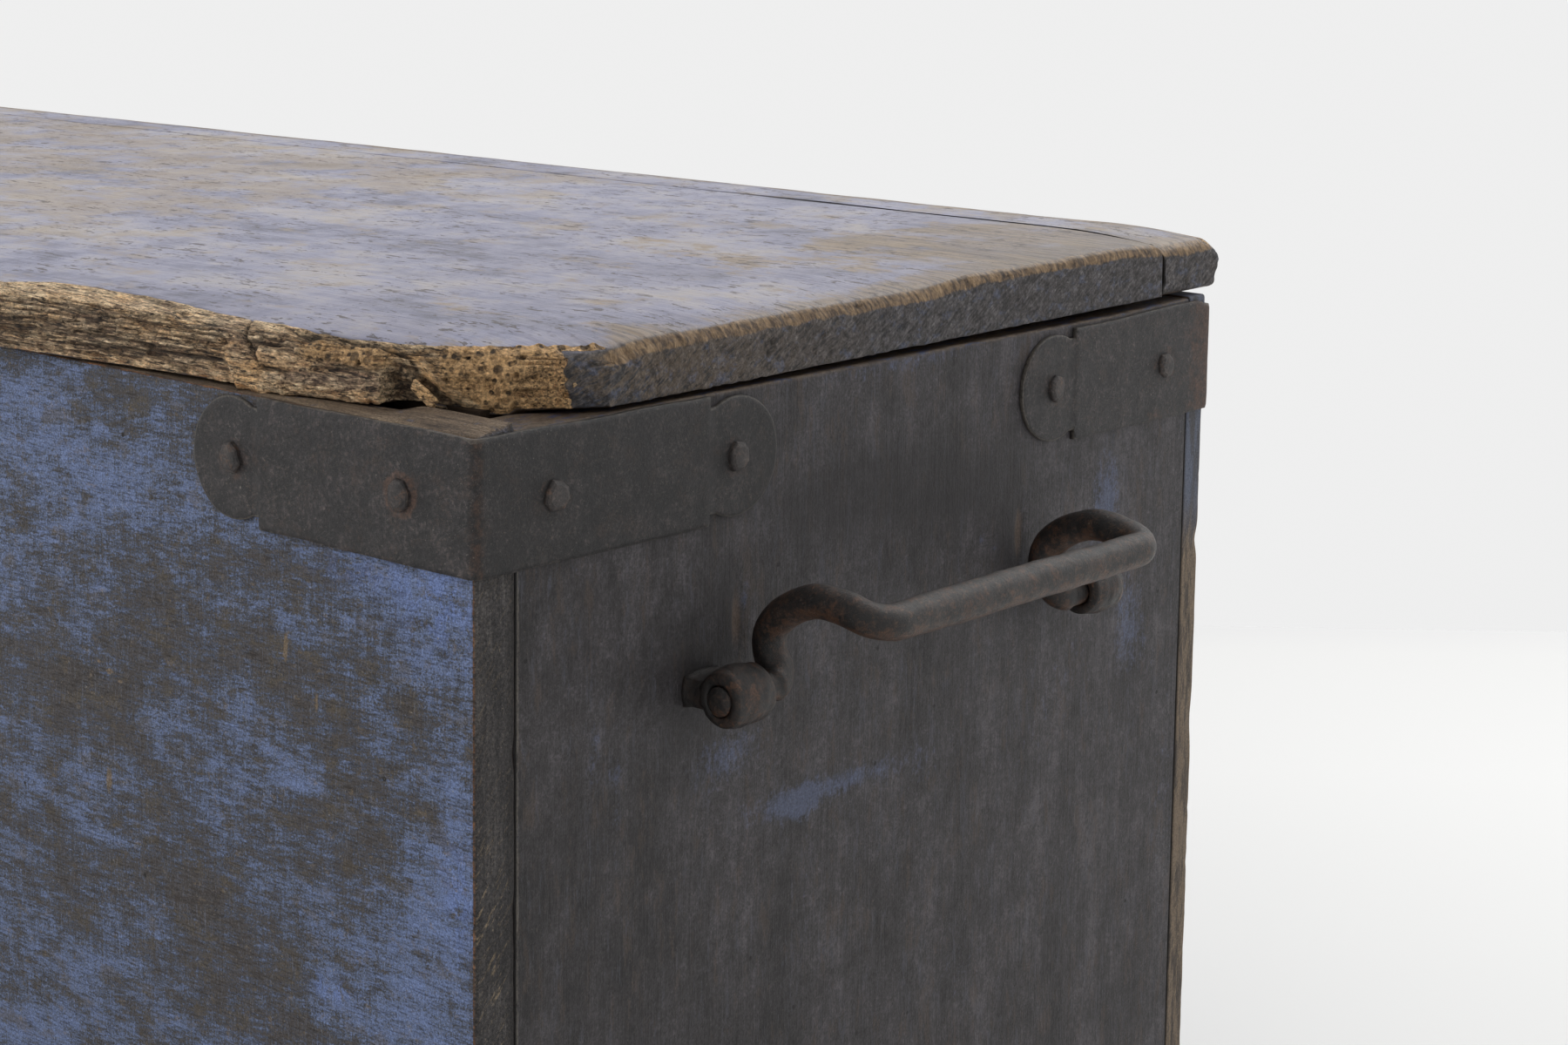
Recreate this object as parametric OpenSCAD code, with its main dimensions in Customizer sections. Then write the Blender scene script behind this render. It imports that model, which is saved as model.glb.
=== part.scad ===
// Old painted plank trunk with iron corner straps, a worn plank lid on strap
// hinges and a forged gooseneck handle at each end.
// X runs along the trunk, the front faces -Y and the underside lies on Z = 0.
// Sizes are in millimetres. The lid is shut and the handles stand half raised.

/* [Box] */
// Length of the box over its boards
box_length = 1180; // [800:10:1400]
// Depth of the box from front to back over its boards
box_depth = 484; // [400:2:600]
// Height of the box without the lid
box_height = 450; // [340:5:560]
// Thickness of the front board
front_board_t = 20; // [16:0.5:28]
// Thickness of the back board
back_board_t = 15; // [14:0.5:28]
// Thickness of the two end boards
end_board_t = 20; // [16:0.5:28]
// How far the end boards stop below the top of the box
end_board_drop = 1; // [0:0.5:3]
// Thickness of the bottom planks
bottom_t = 18; // [14:0.5:26]
// Share of the depth taken by the middle bottom plank
middle_plank_share = 0.36; // [0.3:0.02:0.4]
// Radius worn on the upright corners
corner_r = 2; // [1:0.5:4]

/* [Lid] */
// Thickness of the lid planks
lid_t = 27; // [20:0.5:32]
// How far the ends of the lid lie inside the ends of the box
lid_end_inset = 1.5; // [0:0.5:6]
// How far the lid hangs over the back board
lid_back_overhang = 13; // [8:0.5:20]
// How far the unworn front edge hangs over the front board
lid_front_overhang = 8; // [2:0.5:16]
// Width of the narrow strip along the back of the lid
rear_strip_w = 50; // [40:1:90]
// Gap between the front board and the lid that rests on it
lid_seat_gap = 0.3; // [0.2:0.1:1]
// Gap between the lid and the top of the box at the back
lid_back_gap = 6; // [4:0.5:10]
// Radius worn along the top of the front edge
nose_r = 18; // [8:1:20]
// Radius worn along the top arris at the ends
end_arris_r = 6; // [2:0.5:12]
// How much of the lid's thickness is worn off at its ends
end_wear_drop = 3.5; // [0.5:0.5:5]
// How far in from the ends the top of the lid is worn down
end_wear_w = 60; // [20:5:80]
// Radius worn along the top of the back edge
back_nose_r = 15; // [6:0.5:18]
// Radius worn along the bottom of the back edge
back_toe_r = 3; // [1:0.5:5]
// Width of the cleats under the lid
cleat_w = 48; // [30:1:70]
// Thickness of the cleats under the lid
cleat_t = 20; // [14:0.5:30]
// Free space between a cleat and the boards beside it
cleat_gap = 12; // [6:1:30]
// Free space between a cleat and the back board
cleat_back_gap = 8; // [5:1:60]
// Chamfer at the lower corners of a cleat's ends
cleat_chamfer = 4; // [2:0.5:8]

/* [Corner straps] */
// Width of the strap iron
strap_w = 52; // [40:1:70]
// Thickness of the strap iron
strap_t = 2.5; // [1.5:0.5:4]
// From the box corner to the centre of the lobe along the front and back
front_reach = 136.5; // [100:0.5:180]
// From the box corner to the centre of the lobe along the ends, at the front
end_reach = 139; // [100:0.5:180]
// From the box corner to the centre of the lobe along the ends, at the back
rear_end_reach = 128.5; // [100:0.5:170]
// Radius of the round lobe that ends each leg
lobe_r = 24.5; // [18:0.5:25]
// From the centre of the lobe back to the shoulders of the strap
lobe_neck = 16; // [12:0.5:20]
// How far each shoulder steps in at the neck of the lobe
shoulder_step = 4.5; // [2:0.5:8]
// From the box corner to the nail next to it
first_nail = 38; // [30:1:60]
// From the top of the box to the upper edge of the front straps
front_strap_drop = 1; // [0:0.5:10]
// From the top of the box to the upper edge of the back straps
back_strap_drop = 3; // [0:0.5:10]
// From the floor to the lower edge of the bottom straps
bottom_strap_lift = 4; // [2:0.5:20]

/* [Nails] */
// Across the corners of a strap nail's hammered head
nail_head_d = 11.5; // [8:0.5:16]
// Height of a strap nail's head
nail_head_h = 1.6; // [1:0.2:3]
// Diameter of a strap nail's shank
nail_d = 4; // [3:0.5:5]
// Length of a strap nail under its head
strap_nail_len = 14; // [8:1:15]
// Space left round every nail in its hole
nail_clear = 0.05; // [0.02:0.01:0.2]
// Diameter of the bottom nails' sunk heads
bottom_head_d = 9; // [6:0.5:12]
// Height of the bottom nails' sunk heads
bottom_head_h = 2; // [1:0.5:4]
// Length of the nails that hold the bottom planks
bottom_nail_len = 50; // [30:1:60]
// How far the bottom nails' heads are sunk into the planks
bottom_nail_sink = 1; // [0.5:0.5:3]

/* [Handles] */
// From the box to the pivot line of a handle
pivot_out = 20; // [19:0.5:30]
// From the top of the box down to the pivot line
pivot_drop = 118; // [90:1:180]
// From the middle of the handle to the middle of each leg
leg_half_span = 94; // [75:1:130]
// Radius of the rod in the legs
leg_r = 7; // [5:0.25:7.5]
// How much thicker each stretch of the rod is than the one before it
leg_swell = 0.1; // [0.05:0.05:0.2]
// Radius of the grip at the middle of the bar
grip_r = 7.8; // [5:0.1:11]
// Radius of the pins at the ends of the rod
pin_r = 6; // [4:0.25:6.5]
// Radius of the small burred disc on each pin's end
burr_r = 4; // [2:0.25:5]
// Length of the burr on each pin's end
burr_len = 1.5; // [1:0.25:3]
// Radius of the bend between pin and leg
pin_bend_r = 8; // [7.75:0.25:12]
// Radius of the gooseneck bend beside the wall
neck_bend_r = 19; // [16:0.5:22]
// Radius of the long flat sweep out to the grip
sweep_bend_r = 75; // [60:1:100]
// Radius of the bend between leg and grip
grip_bend_r = 11; // [8:0.5:16]
// Direction in which a leg leaves its pin, up from straight out
leave_angle = 125; // [115:1:130]
// Direction in which the gooseneck bend ends
crest_angle = 8; // [0:1:15]
// Direction in which the leg reaches the grip
grip_angle = -15; // [-30:1:-5]

/* [Handle eyes] */
// Length of an eye along its bore
eye_len = 22.5; // [16:0.5:32]
// Radius of an eye at its ends
eye_end_r = 10.5; // [9:0.25:12]
// Radius of an eye at its swollen middle
eye_mid_r = 12.5; // [10:0.25:14]
// From the side of a leg's bend to the eye
eye_side_gap = 7.8; // [2:0.1:12]
// Space all round between a pin and its eye
pin_clear = 0.08; // [0.03:0.01:0.1]
// Height of the eye's neck between barrel and wall
eye_neck_h = 13; // [9:0.5:18]
// Width of the shank that passes through the end board
shank_w = 14; // [10:0.5:20]
// Height of the shank that passes through the end board
shank_h = 8; // [5:0.5:12]
// Length of each tail clenched over inside
tail_len = 30; // [18:1:45]
// Space left round the shank in its hole
shank_clear = 0.3; // [0.1:0.1:0.6]

/* [Hinges] */
// From the end of the box to the middle of each hinge
hinge_inset = 200; // [120:5:280]
// Width of the hinge straps
hinge_w = 42; // [34:1:60]
// Thickness of the hinge straps
hinge_t = 3; // [2:0.5:4]
// Outside radius of the rolled knuckles
knuckle_r = 5.5; // [4.5:0.25:7]
// Radius of the hinge pin
hinge_pin_r = 2.5; // [2:0.25:3]
// Space all round between hinge pin and knuckles
hinge_pin_clear = 0.05; // [0.02:0.01:0.1]
// From the back face of the box out to the hinge pin
hinge_axis_out = 2; // [1:0.5:4]
// Width of the lid's knuckle
lid_knuckle_w = 16; // [12:0.5:24]
// Free space beside and round the moving knuckles
knuckle_gap = 0.4; // [0.3:0.1:1]
// Length of the strap under the lid in front of the pin
lid_strap_len = 330; // [220:5:380]
// Length of the leaf down the back board below the pin
back_leaf_len = 150; // [100:5:220]
// Radius of the lobe that ends each hinge strap
hinge_lobe_r = 19; // [14:0.5:24]
// Width of a hinge strap where it meets its lobe
hinge_neck_w = 26; // [20:1:30]
// Diameter of the heads of the hinge and cleat nails
hinge_head_d = 10; // [7:0.5:14]
// Height of the heads of the hinge and cleat nails
hinge_head_h = 1.4; // [0.8:0.2:3]
// Length of the hinge nails under their heads
hinge_nail_len = 14; // [8:1:16]
// Length of the cleat nails under their heads
cleat_nail_len = 34; // [26:1:36]
// Diameter of the burr where a hinge pin is riveted over
rivet_d = 7; // [6:0.5:9]
// Length of each burr along the hinge pin
rivet_len = 1.2; // [0.8:0.2:3]

/* [Hidden] */
$fn = 48;

// Cuts run this far past the faces that they leave
cut = 1;

// Box
half_length = box_length / 2;
half_depth = box_depth / 2;
inner_depth = box_depth - front_board_t - back_board_t;
wall_height = box_height - bottom_t;
end_board_top = box_height - end_board_drop;
middle_plank_w = box_depth * middle_plank_share;
outer_plank_w = (box_depth - middle_plank_w) / 2;

// The worn front edge of the lid, right end first: distance in from the end of
// the lid, and distance behind the face of the front board
right_wear = [[0, 70], [9, 56], [19, 43], [47, 25], [76, 16], [127, 6.5], [200, 1]];
left_wear = [[0, 18], [8, 7], [30, 1], [90, -4]];
right_wear_end = 283;
left_wear_end = 190;

// Lid, in its own frame: y = 0 above the face of the front board, z = 0 under it
lid_length = box_length - 2 * lid_end_inset;
half_lid = lid_length / 2;
lid_tilt = atan((lid_back_gap - lid_seat_gap) / box_depth);
lid_back_y = box_depth + lid_back_overhang;
strip_front_y = lid_back_y - rear_strip_w;
cleat_x = half_length - end_board_t - cleat_gap - cleat_w / 2;
cleat_front_y = front_board_t + cleat_gap;
cleat_back_y = box_depth - back_board_t - cleat_back_gap;
cleat_nail_edge = 40;

// Hinge line, in the lid's frame and in the trunk's
hinge_y = box_depth + hinge_axis_out;
hinge_z = -(knuckle_r + hinge_pin_clear + lid_seat_gap);
hinge_world_y = -half_depth + hinge_y * cos(lid_tilt) - hinge_z * sin(lid_tilt);
hinge_world_z = box_height + lid_seat_gap + hinge_y * sin(lid_tilt) + hinge_z * cos(lid_tilt);
side_knuckle_w = (hinge_w - lid_knuckle_w) / 2 - knuckle_gap;
hinge_x = half_length - hinge_inset;

// Flat facets across a worn edge, and across the worn slope behind one
worn_facets = 6;
slope_facets = 3;

// How far each stretch of rod runs on into the next
rod_lap = 0.3;

// Strap nails
nail_shank_r = nail_d / 2;
top_front_z = box_height - front_strap_drop - strap_w;
top_back_z = box_height - back_strap_drop - strap_w;

// Handle path in its swing plane, x out from the pivot and y up
function along(a) = [cos(a), sin(a)];
function across(a) = [-sin(a), cos(a)];
neck_start = pin_bend_r * along(leave_angle);
neck_centre = neck_start - neck_bend_r * across(leave_angle);
neck_end = neck_centre + neck_bend_r * across(crest_angle);
sweep_centre = neck_end - sweep_bend_r * across(crest_angle);
sweep_end = sweep_centre + sweep_bend_r * across(grip_angle);
grip_at = sweep_end + grip_bend_r * along(grip_angle);

// Handle pivots and eyes
pivot_z = box_height - pivot_drop;
eye_near = leg_half_span + pin_bend_r + eye_side_gap;
eye_mid = eye_near + eye_len / 2;
eye_far = eye_near + eye_len;
bore_r = pin_r + pin_clear;

// Repeats its children at the other end of the trunk
module both_ends() {
    children();
    mirror([1, 0, 0]) children();
}

// Places children in the frame of the closed lid
module on_lid() {
    translate([0, -half_depth, box_height + lid_seat_gap])
        rotate([lid_tilt, 0, 0])
            children();
}

// A hammered nail: an eight-sided head above z = 0 and a shank below it
module nail(head_d, head_h, len, r) {
    flat_share = 0.72;
    step_share = 0.6;
    union() {
        cylinder(h = head_h * step_share, d = head_d, $fn = 8);
        cylinder(h = head_h, d = head_d * flat_share, $fn = 8);
        translate([0, 0, -len]) cylinder(h = len + head_h / 2, r = r);
    }
}

// Side view of one strap leg: x along the leg from the corner, y up
module leg_outline(reach) {
    difference() {
        union() {
            translate([corner_r, 0]) square([reach - lobe_neck - corner_r, strap_w]);
            translate([reach - lobe_neck - cut, shoulder_step])
                square([lobe_neck, strap_w - 2 * shoulder_step]);
            translate([reach, strap_w / 2]) circle(r = lobe_r);
        }
        for (at = [first_nail, reach])
            translate([at, strap_w / 2]) circle(r = nail_shank_r + nail_clear);
    }
}

// One strap round the front right corner of the box, its lower edge at z = 0
module corner_strap(face_reach, side_reach) {
    translate([half_length, -half_depth, 0]) union() {
        rotate([90, 0, 0])
            mirror([1, 0, 0])
                linear_extrude(strap_t) leg_outline(face_reach);
        rotate([90, 0, 90])
            linear_extrude(strap_t) leg_outline(side_reach);
        translate([-corner_r, corner_r, 0])
            rotate([0, 0, -90])
                rotate_extrude(angle = 90)
                    translate([corner_r, 0]) square([strap_t, strap_w]);
    }
}

// Children placed on each nail of that strap, with z pointing out of the box
module at_strap_nails(face_reach, side_reach) {
    translate([half_length, -half_depth, strap_w / 2]) {
        for (at = [first_nail, face_reach])
            translate([-at, -strap_t, 0]) rotate([90, 0, 0]) children();
        for (at = [first_nail, side_reach])
            translate([strap_t, at, 0]) rotate([0, 90, 0]) children();
    }
}

// Children placed on the nails of the front straps, then of the back straps
module at_front_nails(z) {
    translate([0, 0, z]) both_ends() at_strap_nails(front_reach, end_reach) children();
}

module at_back_nails(z) {
    translate([0, 0, z])
        both_ends()
            mirror([0, 1, 0]) at_strap_nails(front_reach, rear_end_reach) children();
}

module at_top_nails() {
    at_front_nails(top_front_z) children();
    at_back_nails(top_back_z) children();
}

module at_bottom_nails() {
    at_front_nails(bottom_strap_lift) children();
    at_back_nails(bottom_strap_lift) children();
}

module strap_nail() {
    nail(nail_head_d, nail_head_h, strap_nail_len, nail_shank_r);
}

// The hole that a strap nail needs in the wood behind its strap
module strap_nail_hole() {
    hole_len = strap_nail_len + nail_clear;
    translate([0, 0, -hole_len]) cylinder(h = hole_len, r = nail_shank_r + nail_clear);
}

module all_strap_nail_holes() {
    at_top_nails() strap_nail_hole();
    at_bottom_nails() strap_nail_hole();
}

// Nails driven up through the bottom planks: along each wall and each plank end
nail_rows_x = [-0.36, -0.12, 0.12, 0.36];
bottom_end_x = half_length - end_board_t / 2;
plank_nail_edge = 38;

module at_under_nails() {
    front_y = -half_depth + front_board_t / 2;
    back_y = half_depth - back_board_t / 2;
    for (share = nail_rows_x) {
        translate([share * box_length, front_y, 0]) children();
        translate([share * box_length, back_y, 0]) children();
    }
    for (x = [-bottom_end_x, bottom_end_x])
        for (y = [
            -half_depth + outer_plank_w - plank_nail_edge,
            -middle_plank_w / 2 + plank_nail_edge,
            middle_plank_w / 2 - plank_nail_edge,
            half_depth - outer_plank_w + plank_nail_edge
        ])
            translate([x, y, 0]) children();
}

module under_nail() {
    translate([0, 0, bottom_nail_sink]) union() {
        cylinder(h = bottom_head_h, d = bottom_head_d);
        cylinder(h = bottom_nail_len, r = nail_shank_r);
    }
}

module under_nail_hole() {
    head_room = cut + bottom_nail_sink + bottom_head_h + nail_clear;
    translate([0, 0, -cut]) cylinder(h = head_room, d = bottom_head_d + 2 * nail_clear);
    cylinder(h = bottom_nail_sink + bottom_nail_len + nail_clear, r = nail_shank_r + nail_clear);
}

// Box boards
module long_board(t) {
    union() {
        translate([-half_length, corner_r, bottom_t])
            cube([box_length, t - corner_r, wall_height]);
        translate([-half_length + corner_r, 0, bottom_t])
            cube([box_length - 2 * corner_r, t, wall_height]);
        for (x = [-half_length + corner_r, half_length - corner_r])
            translate([x, corner_r, bottom_t]) cylinder(h = wall_height, r = corner_r);
    }
}

module front_board() {
    color([0.33, 0.42, 0.56]) difference() {
        translate([0, -half_depth, 0]) long_board(front_board_t);
        all_strap_nail_holes();
        at_under_nails() under_nail_hole();
    }
}

module back_board() {
    notch_w = hinge_w + 2 * (rivet_len + knuckle_gap);
    color([0.36, 0.38, 0.42]) difference() {
        translate([0, half_depth, 0]) mirror([0, 1, 0]) long_board(back_board_t);
        all_strap_nail_holes();
        at_under_nails() under_nail_hole();
        both_ends() at_leaf_nails() hinge_nail_hole();
        both_ends()
            translate([hinge_x - notch_w / 2, hinge_world_y, hinge_world_z])
                rotate([0, 90, 0]) cylinder(h = notch_w, r = knuckle_r + knuckle_gap);
        both_ends()
            translate([hinge_x - notch_w / 2, hinge_world_y - knuckle_r - knuckle_gap, hinge_world_z])
                cube([notch_w, 2 * knuckle_r + 2 * knuckle_gap, box_height]);
    }
}

module end_board() {
    color([0.28, 0.27, 0.29]) difference() {
        translate([half_length - end_board_t, -half_depth + front_board_t, bottom_t])
            cube([end_board_t, inner_depth, end_board_top - bottom_t]);
        all_strap_nail_holes();
        at_under_nails() under_nail_hole();
        at_eyes() shank_hole();
    }
}

module right_end_board() {
    end_board();
}

module left_end_board() {
    mirror([1, 0, 0]) end_board();
}

module bottom_plank(low_y, width, square_front, square_back) {
    color([0.42, 0.34, 0.25]) difference() {
        translate([-half_length, low_y, 0]) cube([box_length, width, bottom_t]);
        at_under_nails() under_nail_hole();
        if (!square_front) plank_corner_cuts();
        if (!square_back) mirror([0, 1, 0]) plank_corner_cuts();
    }
}

// Rounds the two front corners of an outer bottom plank like the walls above it
module plank_corner_cuts() {
    both_ends()
        translate([half_length - corner_r, corner_r - half_depth, -cut])
            difference() {
                translate([0, -corner_r - cut, 0])
                    cube([corner_r + cut, corner_r + cut, bottom_t + 2 * cut]);
                cylinder(h = bottom_t + 2 * cut, r = corner_r);
            }
}

module bottom_plank_front() {
    bottom_plank(-half_depth, outer_plank_w, false, true);
}

module bottom_plank_middle() {
    bottom_plank(-middle_plank_w / 2, middle_plank_w, true, true);
}

module bottom_plank_back() {
    bottom_plank(half_depth - outer_plank_w, outer_plank_w, true, false);
}

module bottom_nails() {
    color([0.2, 0.18, 0.17]) at_under_nails() under_nail();
}

// Corner straps
module front_strap(z) {
    color([0.22, 0.22, 0.24]) translate([0, 0, z]) corner_strap(front_reach, end_reach);
}

module back_strap(z) {
    color([0.22, 0.22, 0.24])
        translate([0, 0, z]) mirror([0, 1, 0]) corner_strap(front_reach, rear_end_reach);
}

module top_strap_front_right() {
    front_strap(top_front_z);
}

module top_strap_front_left() {
    mirror([1, 0, 0]) front_strap(top_front_z);
}

module top_strap_back_right() {
    back_strap(top_back_z);
}

module top_strap_back_left() {
    mirror([1, 0, 0]) back_strap(top_back_z);
}

module bottom_strap_front_right() {
    front_strap(bottom_strap_lift);
}

module bottom_strap_front_left() {
    mirror([1, 0, 0]) front_strap(bottom_strap_lift);
}

module bottom_strap_back_right() {
    back_strap(bottom_strap_lift);
}

module bottom_strap_back_left() {
    mirror([1, 0, 0]) back_strap(bottom_strap_lift);
}

module top_strap_nails() {
    color([0.26, 0.24, 0.24]) at_top_nails() strap_nail();
}

module bottom_strap_nails() {
    color([0.26, 0.24, 0.24]) at_bottom_nails() strap_nail();
}

// Handle eyes: children placed on each eye of the right end, x pointing out
module at_eyes() {
    for (side = [-1, 1])
        translate([half_length, side * eye_mid, pivot_z]) children();
}

module shank_hole() {
    translate([-end_board_t - cut, -shank_w / 2 - shank_clear, -shank_h / 2 - shank_clear])
        cube([end_board_t + 2 * cut, shank_w + 2 * shank_clear, shank_h + 2 * shank_clear]);
}

// Barrel rolled from thick strap, swollen in the middle, and its clenched shank
module eye() {
    tail_t = shank_h / 2;
    color([0.27, 0.2, 0.16]) difference() {
        union() {
            translate([pivot_out, 0, 0]) swollen_bar(eye_len, eye_end_r, eye_mid_r);
            translate([0, -eye_len / 2, -eye_neck_h / 2])
                cube([pivot_out, eye_len, eye_neck_h]);
            translate([-end_board_t, -shank_w / 2, -shank_h / 2])
                cube([end_board_t + cut, shank_w, shank_h]);
            translate([-end_board_t - tail_t, -shank_w / 2, -tail_len])
                cube([tail_t, shank_w, 2 * tail_len]);
        }
        translate([pivot_out, eye_len, 0]) rotate([90, 0, 0]) cylinder(h = 2 * eye_len, r = bore_r);
    }
}

module right_eye_front() {
    translate([half_length, -eye_mid, pivot_z]) eye();
}

module right_eye_back() {
    translate([half_length, eye_mid, pivot_z]) eye();
}

module left_eye_front() {
    mirror([1, 0, 0]) right_eye_front();
}

module left_eye_back() {
    mirror([1, 0, 0]) right_eye_back();
}

// An arc of round rod round z, starting on the x axis; each end runs on into
// the stretch beside it
module rod_bend(bend_r, rod_r, angle) {
    lap_angle = 180 * rod_lap / (PI * bend_r);
    rotate([0, 0, -lap_angle])
        rotate_extrude(angle = angle + 2 * lap_angle) translate([bend_r, 0]) circle(r = rod_r);
}

// A leg bend that lies in the swing plane of the handle
module swing_plane_bend(centre, bend_r, rod_r, from_angle, to_angle) {
    translate([centre.x, leg_half_span, centre.y])
        rotate([90, 0, 0])
            rotate([0, 0, 90 + to_angle]) rod_bend(bend_r, rod_r, from_angle - to_angle);
}

// A leg, its pin and its bend into the grip; the rod is drawn a little thicker
// with each stretch towards the grip
module leg() {
    leg_end = leg_half_span + pin_bend_r;
    union() {
        translate([sweep_end.x, leg_half_span - grip_bend_r, sweep_end.y])
            rotate([0, -grip_angle, 0]) rod_bend(grip_bend_r, leg_r + 3 * leg_swell, 90);
        swing_plane_bend(sweep_centre, sweep_bend_r, leg_r + 2 * leg_swell, crest_angle, grip_angle);
        swing_plane_bend(neck_centre, neck_bend_r, leg_r + leg_swell, leave_angle, crest_angle);
        translate([neck_start.x, leg_end, neck_start.y])
            rotate([0, -leave_angle, 0]) rotate([0, 0, 180]) rod_bend(pin_bend_r, leg_r, 90);
        translate([0, leg_end - rod_lap, 0])
            rotate([-90, 0, 0]) cylinder(h = eye_far - leg_end + rod_lap, r = pin_r);
        translate([0, eye_far - rod_lap, 0])
            rotate([-90, 0, 0])
                cylinder(h = burr_len + rod_lap, r1 = pin_r - leg_swell, r2 = burr_r);
    }
}

// A round bar along y that swells from its ends to its middle
module swollen_bar(len, end_r, mid_r) {
    bands = 4;
    rotate([90, 0, 0])
        rotate_extrude()
            polygon(concat(
                [[0, -len / 2]],
                [for (i = [-bands:bands])
                    [mid_r - (mid_r - end_r) * pow(i / bands, 2), i * len / (2 * bands)]],
                [[0, len / 2]]
            ));
}

// A handle with its pivot line along y, x pointing out of the box
module handle() {
    union() {
        translate([grip_at.x, 0, grip_at.y])
            swollen_bar(2 * (leg_half_span - grip_bend_r), leg_r + 4 * leg_swell, grip_r);
        leg();
        mirror([0, 1, 0]) leg();
    }
}

module right_handle() {
    color([0.24, 0.2, 0.18])
        translate([half_length + pivot_out, 0, pivot_z]) handle();
}

module left_handle() {
    mirror([1, 0, 0]) right_handle();
}

// Hinges
// A tapered strap outline with a lobed end: x across, y along from the hinge line
module hinge_outline(start, len) {
    lobe_y = len - hinge_lobe_r;
    union() {
        polygon([
            [-hinge_w / 2, start],
            [hinge_w / 2, start],
            [hinge_neck_w / 2, lobe_y],
            [-hinge_neck_w / 2, lobe_y]
        ]);
        translate([0, lobe_y]) circle(r = hinge_lobe_r);
    }
}

// Places along a hinge strap for its nails
function strap_nail_places(start, len) =
    let (last = len - hinge_lobe_r, n = len > 200 ? 5 : 3)
        [for (i = [0:n - 1]) start + (last - start) * (i + 0.4) / (n - 0.6)];

plain_start = knuckle_r + knuckle_gap;
lid_nail_places = strap_nail_places(plain_start, lid_strap_len);
leaf_nail_places = strap_nail_places(plain_start, back_leaf_len);

module hinge_nail() {
    nail(hinge_head_d, hinge_head_h, hinge_nail_len, nail_shank_r);
}

module hinge_nail_hole() {
    translate([0, 0, -hinge_nail_len - nail_clear])
        cylinder(h = hinge_nail_len + nail_clear + cut, r = nail_shank_r + nail_clear);
}

// Children on the nails of the right back leaf, z pointing out of the back
module at_leaf_nails() {
    for (at = leaf_nail_places)
        translate([hinge_x, half_depth + hinge_t, hinge_world_z - at]) rotate([-90, 0, 0]) children();
}

// Children on the nails of the right lid strap, z pointing down from the lid
module at_lid_strap_nails() {
    on_lid()
        for (at = lid_nail_places)
            translate([hinge_x, hinge_y - at, -hinge_t]) rotate([180, 0, 0]) children();
}

module knuckle(x, width) {
    translate([x, 0, 0]) rotate([0, 90, 0]) cylinder(h = width, r = knuckle_r);
}

// The leaf nailed to the back board, with the two outer knuckles
module back_leaf() {
    side_x = hinge_w / 2 - side_knuckle_w;
    color([0.21, 0.2, 0.21]) difference() {
        union() {
            translate([hinge_x, half_depth, hinge_world_z])
                rotate([-90, 0, 0]) linear_extrude(hinge_t) hinge_outline(plain_start, back_leaf_len);
            for (x = [-hinge_w / 2, side_x])
                translate([hinge_x, hinge_world_y, hinge_world_z]) knuckle(x, side_knuckle_w);
            for (x = [-hinge_w / 2, side_x])
                translate([hinge_x + x, half_depth, hinge_world_z - plain_start - cut])
                    cube([side_knuckle_w, hinge_t, plain_start + cut]);
        }
        translate([hinge_x - hinge_w, hinge_world_y, hinge_world_z])
            rotate([0, 90, 0]) cylinder(h = 2 * hinge_w, r = hinge_pin_r + hinge_pin_clear);
        at_leaf_nails() hinge_nail_hole();
    }
}

module back_leaf_right() {
    back_leaf();
}

module back_leaf_left() {
    mirror([1, 0, 0]) back_leaf();
}

module back_leaf_nails() {
    color([0.25, 0.22, 0.21]) both_ends() at_leaf_nails() hinge_nail();
}

// The pin, riveted over at both ends
module hinge_pin() {
    color([0.25, 0.22, 0.21])
        translate([hinge_x - hinge_w / 2 - rivet_len, hinge_world_y, hinge_world_z])
            rotate([0, 90, 0]) union() {
                cylinder(h = hinge_w + 2 * rivet_len, r = hinge_pin_r);
                cylinder(h = rivet_len, d = rivet_d);
                translate([0, 0, hinge_w + rivet_len]) cylinder(h = rivet_len, d = rivet_d);
            }
}

module hinge_pin_right() {
    hinge_pin();
}

module hinge_pin_left() {
    mirror([1, 0, 0]) hinge_pin();
}

// The long strap under the lid, with the middle knuckle
module lid_strap() {
    color([0.21, 0.2, 0.21]) difference() {
        union() {
            on_lid() translate([hinge_x, hinge_y, -hinge_t])
                rotate([0, 0, 180]) linear_extrude(hinge_t) hinge_outline(plain_start, lid_strap_len);
            on_lid() translate([hinge_x - lid_knuckle_w / 2, hinge_y - plain_start - cut, -hinge_t])
                cube([lid_knuckle_w, plain_start + cut, hinge_t]);
            on_lid() translate([hinge_x, hinge_y, hinge_z]) knuckle(-lid_knuckle_w / 2, lid_knuckle_w);
        }
        on_lid() translate([hinge_x - hinge_w, hinge_y, hinge_z])
            rotate([0, 90, 0]) cylinder(h = 2 * hinge_w, r = hinge_pin_r + hinge_pin_clear);
        at_lid_strap_nails() hinge_nail_hole();
    }
}

module lid_strap_right() {
    lid_strap();
}

module lid_strap_left() {
    mirror([1, 0, 0]) lid_strap();
}

module lid_strap_nails() {
    color([0.25, 0.22, 0.21]) both_ends() at_lid_strap_nails() hinge_nail();
}

// Lid boards, seen from above in the lid's frame
front_line = concat(
    [for (p = left_wear) [-half_lid + p.x, p.y]],
    [[-half_lid + left_wear_end, -lid_front_overhang], [half_lid - right_wear_end, -lid_front_overhang]],
    [for (i = [len(right_wear) - 1:-1:0]) [half_lid - right_wear[i].x, right_wear[i].y]]
);

// Corner of a worn round of radius r, from its foot to its top, in flat facets
function worn_profile(r) =
    [for (i = [0:worn_facets]) r * [1 - cos(90 * i / worn_facets), sin(90 * i / worn_facets)]];

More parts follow.
